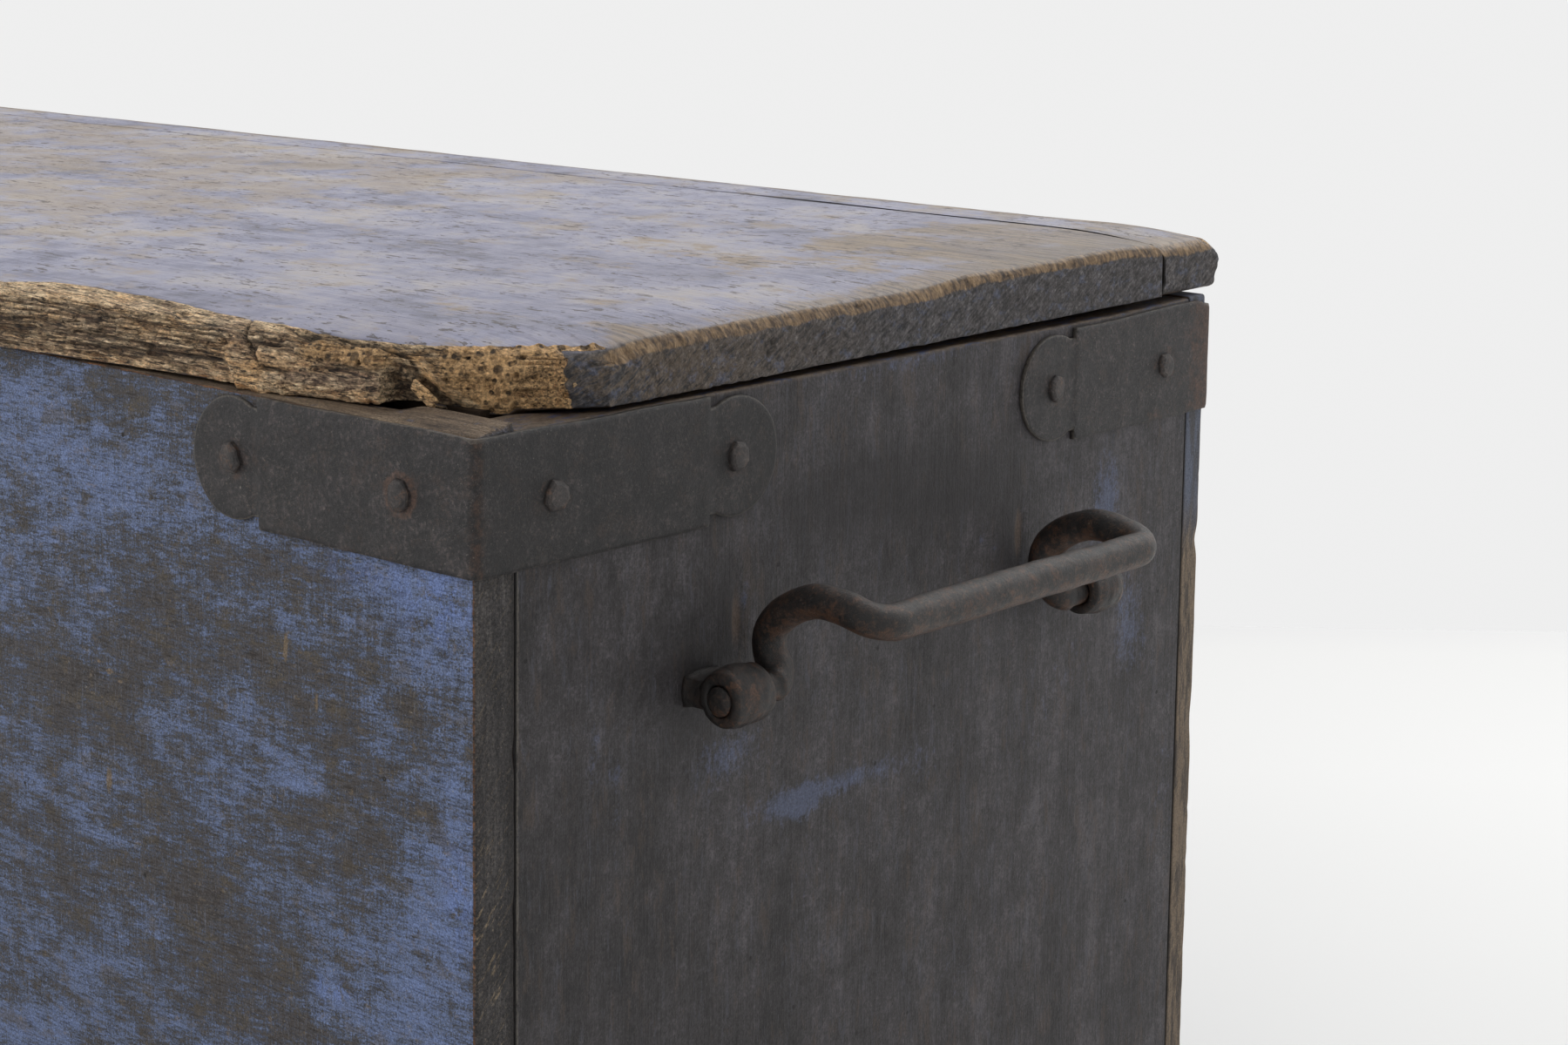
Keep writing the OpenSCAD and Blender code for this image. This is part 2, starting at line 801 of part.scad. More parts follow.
// The worn slope from the head of a round of radius r up by drop, in flat facets
function worn_slope(r, drop, width) = drop == 0 ? [] :
    [for (i = [1:slope_facets])
        let (s = i / slope_facets) [r + (width - r) * s, r + drop * (1 - pow(1 - s, 2))]];

// Cuts a worn round along the top of an edge from a to b, wood on its left side,
// and the slope behind it
module worn_edge(a, b, r, drop = 0, width = 0) {
    run = norm(b - a);
    past = 12;
    over = r + drop + cut;
    translate([a.x, a.y, lid_t - r - drop])
        rotate([0, 0, atan2(b.y - a.y, b.x - a.x)])
            translate([-past, 0, 0])
                rotate([90, 0, 90])
                    linear_extrude(run + 2 * past)
                        polygon(concat(
                            [[-r, 0]],
                            worn_profile(r),
                            worn_slope(r, drop, width),
                            [[max(r, width), over], [-r, over]]
                        ));
}

module lid_end_wear() {
    worn_edge([half_lid, 0], [half_lid, lid_back_y], end_arris_r, end_wear_drop, end_wear_w);
    worn_edge([-half_lid, lid_back_y], [-half_lid, 0], end_arris_r, end_wear_drop, end_wear_w);
}

module lid_nail_holes() {
    both_ends() at_lid_strap_nails() hinge_nail_hole();
    both_ends() at_cleat_nails() cleat_nail_hole();
}

module lid_plank() {
    color([0.62, 0.64, 0.7]) difference() {
        on_lid() difference() {
            linear_extrude(lid_t) polygon(concat(
                front_line,
                [[half_lid, strip_front_y], [-half_lid, strip_front_y]]
            ));
            for (i = [0:len(front_line) - 2]) worn_edge(front_line[i], front_line[i + 1], nose_r);
            lid_end_wear();
        }
        lid_nail_holes();
    }
}

module lid_rear_strip() {
    color([0.56, 0.54, 0.54]) difference() {
        on_lid() difference() {
            translate([-half_lid, strip_front_y, 0]) cube([lid_length, rear_strip_w, lid_t]);
            worn_edge([half_lid, lid_back_y], [-half_lid, lid_back_y], back_nose_r);
            translate([0, 0, lid_t]) mirror([0, 0, 1])
                worn_edge([half_lid, lid_back_y], [-half_lid, lid_back_y], back_toe_r);
            lid_end_wear();
        }
        lid_nail_holes();
    }
}

// Cleats: two battens that hold the lid planks together
module at_cleat_nails() {
    first = cleat_front_y + cleat_nail_edge;
    last = strip_front_y - cleat_nail_edge;
    in_strip = cleat_back_y - cleat_chamfer - hinge_head_d / 2 - cut;
    places = concat([for (i = [0:3]) first + (last - first) * i / 3], [in_strip]);
    on_lid()
        for (y = places)
            translate([cleat_x, y, -cleat_t]) rotate([180, 0, 0]) children();
}

module cleat_nail() {
    nail(hinge_head_d, hinge_head_h, cleat_nail_len, nail_shank_r);
}

module cleat_nail_hole() {
    translate([0, 0, -cleat_nail_len - nail_clear])
        cylinder(h = cleat_nail_len + nail_clear + cut, r = nail_shank_r + nail_clear);
}

module lid_cleat() {
    color([0.5, 0.41, 0.3]) difference() {
        on_lid()
            translate([cleat_x - cleat_w / 2, 0, 0])
                rotate([90, 0, 90])
                    linear_extrude(cleat_w)
                        polygon([
                            [cleat_front_y, 0],
                            [cleat_back_y, 0],
                            [cleat_back_y, cleat_chamfer - cleat_t],
                            [cleat_back_y - cleat_chamfer, -cleat_t],
                            [cleat_front_y + cleat_chamfer, -cleat_t],
                            [cleat_front_y, cleat_chamfer - cleat_t]
                        ]);
        at_cleat_nails() cleat_nail_hole();
    }
}

module lid_cleat_right() {
    lid_cleat();
}

module lid_cleat_left() {
    mirror([1, 0, 0]) lid_cleat();
}

module lid_cleat_nails() {
    color([0.25, 0.22, 0.21]) both_ends() at_cleat_nails() cleat_nail();
}

front_board();
back_board();
left_end_board();
right_end_board();
bottom_plank_front();
bottom_plank_middle();
bottom_plank_back();
bottom_nails();
top_strap_front_right();
top_strap_front_left();
top_strap_back_right();
top_strap_back_left();
bottom_strap_front_right();
bottom_strap_front_left();
bottom_strap_back_right();
bottom_strap_back_left();
top_strap_nails();
bottom_strap_nails();
right_eye_front();
right_eye_back();
left_eye_front();
left_eye_back();
right_handle();
left_handle();
back_leaf_right();
back_leaf_left();
back_leaf_nails();
hinge_pin_right();
hinge_pin_left();
lid_plank();
lid_rear_strip();
lid_cleat_right();
lid_cleat_left();
lid_cleat_nails();
lid_strap_right();
lid_strap_left();
lid_strap_nails();
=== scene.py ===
"""Looks of an old painted plank trunk: worn boards, a worm-eaten lid edge, corner straps and forged handles."""
import math

import bpy
import numpy as np
from mathutils import Matrix, Vector


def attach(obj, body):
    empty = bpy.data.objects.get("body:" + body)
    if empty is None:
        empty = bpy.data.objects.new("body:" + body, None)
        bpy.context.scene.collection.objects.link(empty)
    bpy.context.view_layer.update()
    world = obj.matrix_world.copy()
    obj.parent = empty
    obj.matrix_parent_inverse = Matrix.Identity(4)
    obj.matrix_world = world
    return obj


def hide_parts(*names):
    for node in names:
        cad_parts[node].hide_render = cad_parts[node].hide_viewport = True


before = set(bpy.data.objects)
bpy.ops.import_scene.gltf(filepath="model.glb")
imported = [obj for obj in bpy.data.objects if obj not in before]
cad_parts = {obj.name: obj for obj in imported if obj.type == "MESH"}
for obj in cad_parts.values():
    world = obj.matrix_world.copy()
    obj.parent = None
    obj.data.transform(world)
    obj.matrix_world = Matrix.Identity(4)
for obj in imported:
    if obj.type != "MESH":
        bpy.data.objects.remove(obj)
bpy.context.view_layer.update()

MM = 0.001

# Box, in millimetres, in the part's frame
HALF_LEN, HALF_DEPTH, TOP = 590.0, 242.0, 450.0
FRONT_T, BACK_T, END_T, BOTTOM_T = 20.0, 15.0, 20.0, 18.0

# Lid, in its own frame: y = 0 above the face of the front board, z = 0 under it
LID_T, LID_HALF, LID_SEAT = 27.0, 588.5, 0.3
END_DROP, END_WEAR, FRONT_DROP = 3.5, 60.0, 4.6
LID_TILT = math.atan(5.7 / 484)
STRIP_Y, LID_BACK_Y = 447.0, 497.0
NOSE_R = 14.0
# How far behind the front board's face the lid starts, by the distance from its ends
RIGHT_WEAR = [(0, 70), (9, 56), (19, 43), (47, 25), (76, 16), (127, 6.5), (200, 1), (283, -8)]
LEFT_WEAR = [(0, 18), (8, 7), (30, 1), (90, -4), (190, -8)]
# How far the raw wood reaches over the top, along the lid
RAW_LINE = [(-1200, 10), (-600, 10), (-330, 11), (-305, 8.5), (-291, 22), (-266, 26), (-209, 25), (-139, 14.5),
            (-86, 14), (-47.6, 22.5), (-26, 46), (-11, 56.5), (-4, 66)]

# The near top corner of the front right strap, from which the marks of wear are measured
MARK = np.array([592.5, -244.5, 449.0])
# The same corner in the lid's frame
LID_MARK = np.array([LID_HALF + 4, -2.5, -1.3])

# How far the uneven top edges of the walls stand above plain boards, and where the ends' rise starts
FRONT_RISE, END_RISE, END_BACK_RISE, END_INNER_RISE, BACK_RISE = 3.2, 2.4, 1.4, 1.6, 3.6
RISE_FROM = 380.0

# Bright (positive) and worn (negative) patches of the front: x, z, half width, half height, strength
FRONT_PATCHES = [
    (-245, -42, 38, 10, 1), (-186, -39, 24, 7, 0.8), (-243, -73, 19, 8, 0.6), (-138, -52, 23, 5, 0.8),
    (-185, -87, 21, 3, 0.7), (-39, -65, 17, 13, 1), (-20, -109, 12, 31, 1), (-162, -119, 7, 4, 0.7),
    (-144, -123, 11, 4, 0.6), (-115, -141, 32, 7, 0.6), (-115, -149, 16, 4, 0.6), (-281, -192, 13, 23, 0.6),
    (-116, -165, 10, 7, 0.6), (-245, -188, 10, 13, 0.5), (-19, -170, 14, 21, 0.9), (-279, -290, 46, 21, 0.5),
    (-84, -230, 8, 4, 1), (-54, -203, 30, 14, 0.4), (-283, -15, 38, 11, 0.6), (-66, -84, 20, 10, 0.5),
    (-157, -41, 11, 11, 0.6), (-278, -80, 27, 7, -0.9), (-217, -67, 7, 4, -0.8), (-242, -90, 7, 4, -0.8),
    (-206, -109, 27, 17, -1), (-266, -128, 39, 13, -1), (-236, -139, 20, 10, -1), (-101, -67, 37, 5, -1),
    (-107, -81, 21, 4, -0.7), (-98, -108, 32, 11, -0.8), (-183, -153, 27, 16, -0.8), (-71, -120, 6, 4, -0.8),
    (-73, -137, 30, 18, -0.5), (-156, -130, 8, 7, -0.6), (-41, -107, 5, 3, -0.6), (-15, -88, 7, 9, -0.8),
    (-149, -218, 45, 23, -1), (-197, -204, 36, 16, -0.7), (-114, -250, 43, 11, -0.8), (-203, -8, 34, 6, -0.6),
    (-274, -223, 26, 12, -0.6), (-161, -20, 7, 21, -0.7), (-53, -161, 20, 11, -0.5), (-23, -143, 8, 7, -0.5),
    (-119, 3, 31, 5, -0.8), (-430, -80, 110, 60, 0.7)]

# Blue patches of the right-hand end: y, z, half width, half height, strength
END_PATCHES = [
    (41, -66, 6, 7, 0.4), (64, -129, 4, 11, 0.9), (76, -142, 4, 5, 0.7), (139, -150, 18, 10, 1),
    (178, -177, 29, 6, 1), (221, -178, 24, 4, 0.8), (184, -182, 11, 5, 0.9), (190, -213, 3, 28, 0.5),
    (76, -164, 2, 22, 0.5), (267, -180, 26, 12, 0.5), (354, -188, 14, 26, 0.4), (407, -79, 9, 21, 1),
    (401, -95, 10, 13, 0.9), (423, -142, 9, 18, 0.7), (432, -162, 16, 27, 0.6), (380, -160, 15, 26, 0.4),
    (149, -86, 4, 11, 0.7), (159, -70, 5, 9, 0.4), (307, -88, 3, 2, 1), (318, -94, 3, 1, 1),
    (69, -180, 3, 22, 0.3), (462, -240, 11, 47, 0.5), (206, -247, 8, 8, 0.5), (298, -280, 27, 26, 0.4),
    (109, -209, 4, 23, 0.3), (159, -56, 16, 6, 0.3), (247, -2, 56, 5, 0.8), (365, 6, 28, 4, 1),
    (113, -83, 15, 4, 0.3), (45, -57, 18, 3, 0.3)]


# Numbers

def rnd(ix, iy, iz, seed):
    """Pseudo-random numbers from 0 to 1 for whole-number cells."""
    h = (ix * 374761393 + iy * 668265263 + iz * 1440670441 + seed * 974634777) & 0xFFFFFFFF
    h = ((h ^ (h >> 13)) * 1274126177) & 0xFFFFFFFF
    return ((h ^ (h >> 16)) & 0xFFFFFF) / float(0xFFFFFF)


def value_noise(q, seed):
    """Smooth noise from -1 to 1 over cells of size 1."""
    base = np.floor(q).astype(np.int64)
    f = q - base
    f = f * f * f * (f * (f * 6 - 15) + 10)
    total = 0.0
    for dx in (0, 1):
        wx = f[:, 0] if dx else 1 - f[:, 0]
        for dy in (0, 1):
            wy = f[:, 1] if dy else 1 - f[:, 1]
            for dz in (0, 1):
                wz = f[:, 2] if dz else 1 - f[:, 2]
                total = total + wx * wy * wz * rnd(base[:, 0] + dx, base[:, 1] + dy, base[:, 2] + dz, seed)
    return total * 2 - 1


def fbm(p, cell, seed=0, octaves=3, gain=0.5):
    """Layered noise over cells of the given sizes in millimetres."""
    q = p / np.array(cell, float)
    total, amp, norm = 0.0, 1.0, 0.0
    for o in range(octaves):
        total = total + amp * value_noise(q * 2 ** o + 17.3 * o, seed + 31 * o)
        norm += amp
        amp *= gain
    return total / norm


def pits(p, cell, seed=0, radius=0.35, share=0.6):
    """1 in the middle of scattered round pits, 0 outside them."""
    q = p / np.array(cell, float)
    base = np.floor(q).astype(np.int64)
    out = np.zeros(len(p))
    for dx in (-1, 0, 1):
        for dy in (-1, 0, 1):
            for dz in (-1, 0, 1):
                c = base + np.array([dx, dy, dz])
                args = (c[:, 0], c[:, 1], c[:, 2])
                on = rnd(*args, seed + 3) < share
                spot = np.stack([rnd(*args, seed + k) for k in range(3)], 1)
                size = radius * (0.5 + 0.5 * rnd(*args, seed + 4))
                d = np.linalg.norm(c + spot - q, axis=1)
                out = np.maximum(out, on * np.clip(1 - d / size, 0, 1))
    return out


def step(x, lo, hi):
    t = np.clip((x - lo) / (hi - lo), 0, 1)
    return t * t * (3 - 2 * t)


def bell(x, middle, width):
    """1 in the middle, falling off smoothly on both sides."""
    return np.exp(-((x - middle) / width) ** 2)


def blob(p, centre, radii):
    """A soft spot: 1 at its centre, falling off with distance."""
    q = (p - np.array(centre, float)) / np.array(radii, float)
    return np.exp(-(q ** 2).sum(1))


def blobs(p, *spots):
    """Sum of soft spots: centre, radii, strength."""
    return sum(strength * blob(p, centre, radii) for centre, radii, strength in spots)


def patches(a, b, spots):
    """Sum of soft patches over two coordinates."""
    spread = 1.25
    total = np.zeros(len(a))
    for x, y, rx, ry, strength in spots:
        total += strength * bell(a, x, rx * spread) * bell(b, y, ry * spread)
    return total


def plates(x, a, length, high, seed):
    """Broken fibre plates: a random height for each and the distance to its rim, in millimetres."""
    row = np.floor(a / high).astype(np.int64)
    none = np.zeros_like(row)
    stretch = length * (0.5 + rnd(row, none + 1, none, seed))
    shifted = (x + rnd(row, none, none, seed) * length * 3) / stretch
    col = np.floor(shifted).astype(np.int64)
    tall = rnd(row, col, none + 2, seed) - 0.5
    fy, fx = a / high - row, shifted - col
    rim = np.minimum(np.minimum(fy, 1 - fy) * high, np.minimum(fx, 1 - fx) * stretch)
    return tall, rim


def spaced(*stretches):
    """Stations: a start, then (end, spacing) pairs."""
    out = [float(stretches[0])]
    for end, gap in stretches[1:]:
        n = max(1, int(round(abs(end - out[-1]) / gap)))
        out += list(np.linspace(out[-1], end, n + 1)[1:])
    return np.array(out)


# Meshes

def lattice(xs, ys, zs):
    """The surface of a block of cells: its points in millimetres and its four-sided faces."""
    n = (len(xs), len(ys), len(zs))
    grid = np.stack(np.meshgrid(xs, ys, zs, indexing="ij"), -1)
    on = np.zeros(n, bool)
    for axis in range(3):
        for end in (0, -1):
            on[tuple(end if a == axis else slice(None) for a in range(3))] = True
    number = np.full(n, -1)
    number[on] = np.arange(on.sum())
    faces = []
    for axis in range(3):
        for end in (0, -1):
            s = number[tuple(end if a == axis else slice(None) for a in range(3))]
            a, b, c, d = s[:-1, :-1], s[1:, :-1], s[1:, 1:], s[:-1, 1:]
            quad = np.stack([a, b, c, d], -1).reshape(-1, 4)
            flip = (end == 0) != (axis == 1)
            faces.append(quad[:, ::-1] if flip else quad)
    return grid[on], np.concatenate(faces)


def tube(rings):
    """Closed rings of points, capped at both ends by a point in their middle."""
    rings = np.asarray(rings, float)
    m, n = rings.shape[:2]
    points = np.concatenate([rings.reshape(-1, 3), [rings[0].mean(0)], [rings[-1].mean(0)]])
    i = np.arange(n)
    j = (i + 1) % n
    faces = [[a, b, c, d] for k in range(m - 1)
             for a, b, c, d in zip(k * n + i, k * n + j, (k + 1) * n + j, (k + 1) * n + i)]
    faces += [[m * n, b, a] for a, b in zip(i, j)]
    faces += [[m * n + 1, a, b] for a, b in zip((m - 1) * n + i, (m - 1) * n + j)]
    return points, faces


def facing(points, faces):
    """Outward direction at each point."""
    f = np.array([list(q) + [q[-1]] * (4 - len(q)) for q in faces])
    n = np.cross(points[f[:, 2]] - points[f[:, 0]], points[f[:, 3]] - points[f[:, 1]])
    tri = f[:, 2] == f[:, 3]
    if tri.any():
        n[tri] = np.cross(points[f[tri, 1]] - points[f[tri, 0]], points[f[tri, 2]] - points[f[tri, 0]])
    out = np.zeros_like(points)
    for k in range(4):
        for axis in range(3):
            out[:, axis] += np.bincount(f[:, k], n[:, axis], len(points))
    return out / np.maximum(np.linalg.norm(out, axis=1, keepdims=True), 1e-9)


def rounded(p, lo, hi, r):
    """Rounds the edges of a block by r, a number or one for each point."""
    r = np.broadcast_to(np.asarray(r, float), len(p))[:, None]
    c = np.clip(p, np.array(lo) + r, np.array(hi) - r)
    d = p - c
    longest = np.abs(d).max(1, keepdims=True)
    return c + d * longest / np.maximum(np.linalg.norm(d, axis=1, keepdims=True), 1e-9)


def piece(name, points, faces, body, nodes, material, fields=None, smooth=True):
    """A shown piece from points in millimetres, with its point fields for the material."""
    mesh = bpy.data.meshes.new(name)
    mesh.from_pydata((np.asarray(points) * MM).tolist(), [], [list(map(int, f)) for f in faces])
    mesh.update()
    for key, values in (fields or {}).items():
        a = mesh.attributes.new(key, "FLOAT", "POINT")
        a.data.foreach_set("value", np.asarray(values, np.float32))
    mesh.polygons.foreach_set("use_smooth", np.full(len(mesh.polygons), smooth))
    mesh.materials.append(material)
    o = bpy.data.objects.new(name, mesh)
    bpy.context.scene.collection.objects.link(o)
    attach(o, body)
    if nodes:
        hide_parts(*nodes)
    return o


def hand_name(side):
    return "Right" if side > 0 else "Left"


def joined(parts):
    """Several (points, faces) as one."""
    points, faces, start = [], [], 0
    for p, f in parts:
        points.append(np.asarray(p))
        faces += [[int(i) + start for i in q] for q in f]
        start += len(p)
    return np.concatenate(points), faces


# Materials

def rgb(r, g, b):
    def lin(c):
        c /= 255.0
        return c / 12.92 if c <= 0.04045 else ((c + 0.055) / 1.055) ** 2.4
    return (lin(r), lin(g), lin(b), 1.0)


class Finish:
    """Builds one node material; sizes are in millimetres."""

    def __init__(self, name, rough=0.7, spec=0.3):
        self.m = bpy.data.materials.new(name)
        self.m.use_nodes = True
        self.t = self.m.node_tree
        self.out = self.t.nodes["Principled BSDF"]
        self.out.inputs["Roughness"].default_value = rough
        self.out.inputs["Specular IOR Level"].default_value = spec
        self.where = self.node("ShaderNodeTexCoord").outputs["Object"]
        self.height = None

    def node(self, kind, **props):
        n = self.t.nodes.new(kind)
        for k, v in props.items():
            setattr(n, k, v)
        return n

    def plug(self, socket, value):
        if isinstance(value, bpy.types.NodeSocket):
            self.t.links.new(value, socket)
        else:
            socket.default_value = value

    def math(self, op, a, b=0.0, c=0.0):
        n = self.node("ShaderNodeMath", operation=op)
        for s, v in zip(n.inputs, (a, b, c)):
            self.plug(s, v)
        return n.outputs[0]

    def cells(self, x, y, z, turn=None, at=(0, 0, 0)):
        """Object coordinates in cells of the given size, turned first if asked."""
        vec = self.where
        if turn:
            n = self.node("ShaderNodeMapping")
            n.inputs["Rotation"].default_value = [math.radians(a) for a in turn]
            self.plug(n.inputs["Vector"], vec)
            vec = n.outputs[0]
        n = self.node("ShaderNodeMapping")
        n.inputs["Scale"].default_value = (1000.0 / x, 1000.0 / y, 1000.0 / z)
        n.inputs["Location"].default_value = at
        self.plug(n.inputs["Vector"], vec)
        return n.outputs[0]

    def noise(self, x, y, z, detail=4.0, rough=0.55, at=(0, 0, 0), turn=None, warp=0.0):
        """Noise over cells of x, y and z, with its detail, roughness, place, turn and distortion."""
        n = self.node("ShaderNodeTexNoise")
        self.plug(n.inputs["Vector"], self.cells(x, y, z, turn, at))
        for key, v in (("Scale", 1.0), ("Detail", detail), ("Roughness", rough), ("Distortion", warp)):
            n.inputs[key].default_value = v
        return n.outputs[0]

    def scatter(self, output, x, y, z, at):
        n = self.node("ShaderNodeTexVoronoi")
        self.plug(n.inputs["Vector"], self.cells(x, y, z, None, at))
        n.inputs["Scale"].default_value = 1.0
        return n.outputs[output]

    def holes(self, x, y, z, at=(0, 0, 0)):
        """Distance to scattered points, in cells."""
        return self.scatter("Distance", x, y, z, at)

    def chunks(self, x, y, z, at=(0, 0, 0)):
        """A random grey for each of many scattered patches."""
        n = self.node("ShaderNodeRGBToBW")
        self.plug(n.inputs[0], self.scatter("Color", x, y, z, at))
        return n.outputs[0]

    def field(self, name):
        return self.node("ShaderNodeAttribute", attribute_name=name).outputs["Fac"]

    def band(self, x, lo, hi):
        """0 below lo and 1 above hi, with a smooth change between; falls where hi is below lo."""
        n = self.node("ShaderNodeMapRange", interpolation_type="SMOOTHSTEP")
        self.plug(n.inputs["Value"], x)
        up = hi > lo
        n.inputs["From Min"].default_value = lo if up else hi
        n.inputs["From Max"].default_value = hi if up else lo
        n.inputs["To Min"].default_value = 0.0 if up else 1.0
        n.inputs["To Max"].default_value = 1.0 if up else 0.0
        return n.outputs["Result"]

    def mix(self, f, a, b):
        n = self.node("ShaderNodeMix", data_type="RGBA")
        self.plug(n.inputs[0], f)
        self.plug(n.inputs[6], a)
        self.plug(n.inputs[7], b)
        return n.outputs[2]

    def ramp(self, x, *stops):
        """Stops: a position and a colour from 0 to 255."""
        n = self.node("ShaderNodeValToRGB")
        e = n.color_ramp.elements
        while len(e) < len(stops):
            e.new(0.5)
        for el, (at, *shade) in zip(e, stops):
            el.position, el.color = at, rgb(*shade)
        self.plug(n.inputs[0], x)
        return n.outputs[0]

    def axis(self, k):
        n = self.node("ShaderNodeSeparateXYZ")
        self.plug(n.inputs[0], self.where)
        return n.outputs[k]

    def times(self, *values):
        out = values[0]
        for v in values[1:]:
            out = self.math("MULTIPLY", out, v)
        return out

    def plus(self, *values):
        """The sum of values; a pair is a value and its weight."""
        terms = [self.math("MULTIPLY", *v) if isinstance(v, tuple) else v for v in values]
        out = terms[0]
        for v in terms[1:]:
            out = self.math("ADD", out, v)
        return out

    def line(self, x, slope, start):
        return self.math("MULTIPLY_ADD", x, slope, start)

    def toward(self, a, b, share):
        """Moves from a to b."""
        return self.line(self.math("SUBTRACT", b, a), share, a)

    def rest(self, x):
        """What x leaves of 1."""
        return self.math("SUBTRACT", 1.0, x)

    def most(self, a, b):
        return self.math("MAXIMUM", a, b)

    def least(self, a, b):
        return self.math("MINIMUM", a, b)

    def scaled(self, colour, factor):
        n = self.node("ShaderNodeVectorMath", operation="SCALE")
        self.plug(n.inputs[0], colour)
        self.plug(n.inputs["Scale"], factor)
        return n.outputs[0]

    def grainy(self, colour, grain, amount):
        """Lightens and darkens a colour by a noise around one half."""
        return self.scaled(colour, self.most(self.line(grain, amount, 1 - amount / 2), 0.1))

    def speckled(self, colour, size, amount, at=(4, 4, 4)):
        """Grain as fine as dust."""
        return self.grainy(colour, self.noise(size, size, size, 2, 0.7, at), amount)

    def tint(self, colour, mask, amount, *shade):
        """Lays a shade over a colour where the mask is high."""
        return self.mix(self.times(mask, amount), colour, rgb(*shade))

    def pinholes(self, colour, apart, rim, pit, *shade):
        """Small dark holes, with their sizes as shares of their distance apart."""
        return self.mix(self.band(self.holes(apart, apart, apart), rim, pit), colour, rgb(*shade))

    def stains(self, colour, *rows):
        """Lays shades over a colour where a noise is high.

        A row: its name, the noise's cells, place, detail and roughness, its band, the strength and the shade.
        """
        for _, cells, at, detail, rough, lo, hi, amount, shade in rows:
            mask = self.band(self.noise(*cells, detail, rough, at), lo, hi)
            colour = self.tint(colour, mask, amount, *shade)
        return colour

    def relief(self, *pairs):
        """Adds to the bump: a value and its height in millimetres."""
        for pair in pairs:
            term = self.math("MULTIPLY", *pair)
            self.height = term if self.height is None else self.math("ADD", self.height, term)

    def done(self, colour, rough=None):
        self.plug(self.out.inputs["Base Color"], colour)
        if rough is not None:
            self.plug(self.out.inputs["Roughness"], rough)
        if self.height is not None:
            n = self.node("ShaderNodeBump")
            n.inputs["Strength"].default_value = 1.0
            n.inputs["Distance"].default_value = MM
            self.plug(n.inputs["Height"], self.height)
            self.plug(self.out.inputs["Normal"], n.outputs[0])
        return self.m


def raw_wood(f, grain, dark, mid, light):
    """Bare old wood with its grain along one axis; grain gives the cell sizes of its long fibres."""
    x, y, z = grain
    broad = f.noise(x * 4, y * 9, z * 9, 3)
    fibre = f.noise(x, y, z, 5, 0.65)
    fine = f.noise(x * 0.35, y * 0.3, z * 0.3, 3, 0.7)
    tone = f.plus((broad, 0.45), (fibre, 0.45), (fine, 0.25))
    f.relief((fibre, 0.5), (fine, 0.15))
    return f.ramp(tone, (0.42, *dark), (0.57, *mid), (0.72, *light))


# Dark, middle and light tones of the bare wood inside: old dark wood, kept darker still as painted shade of the
# inside
INSIDE = (40, 31, 25), (66, 51, 39), (92, 73, 56)


def inner_wood(name, lit):
    f = Finish(name, rough=0.8, spec=0.2)
    colour = raw_wood(f, (60, 2.2, 2.2), *INSIDE)
    spots = f.band(f.noise(22, 16, 16, 5), 0.62, 0.74)
    return f.done(f.scaled(f.tint(colour, spots, 0.5, 52, 42, 35), lit))


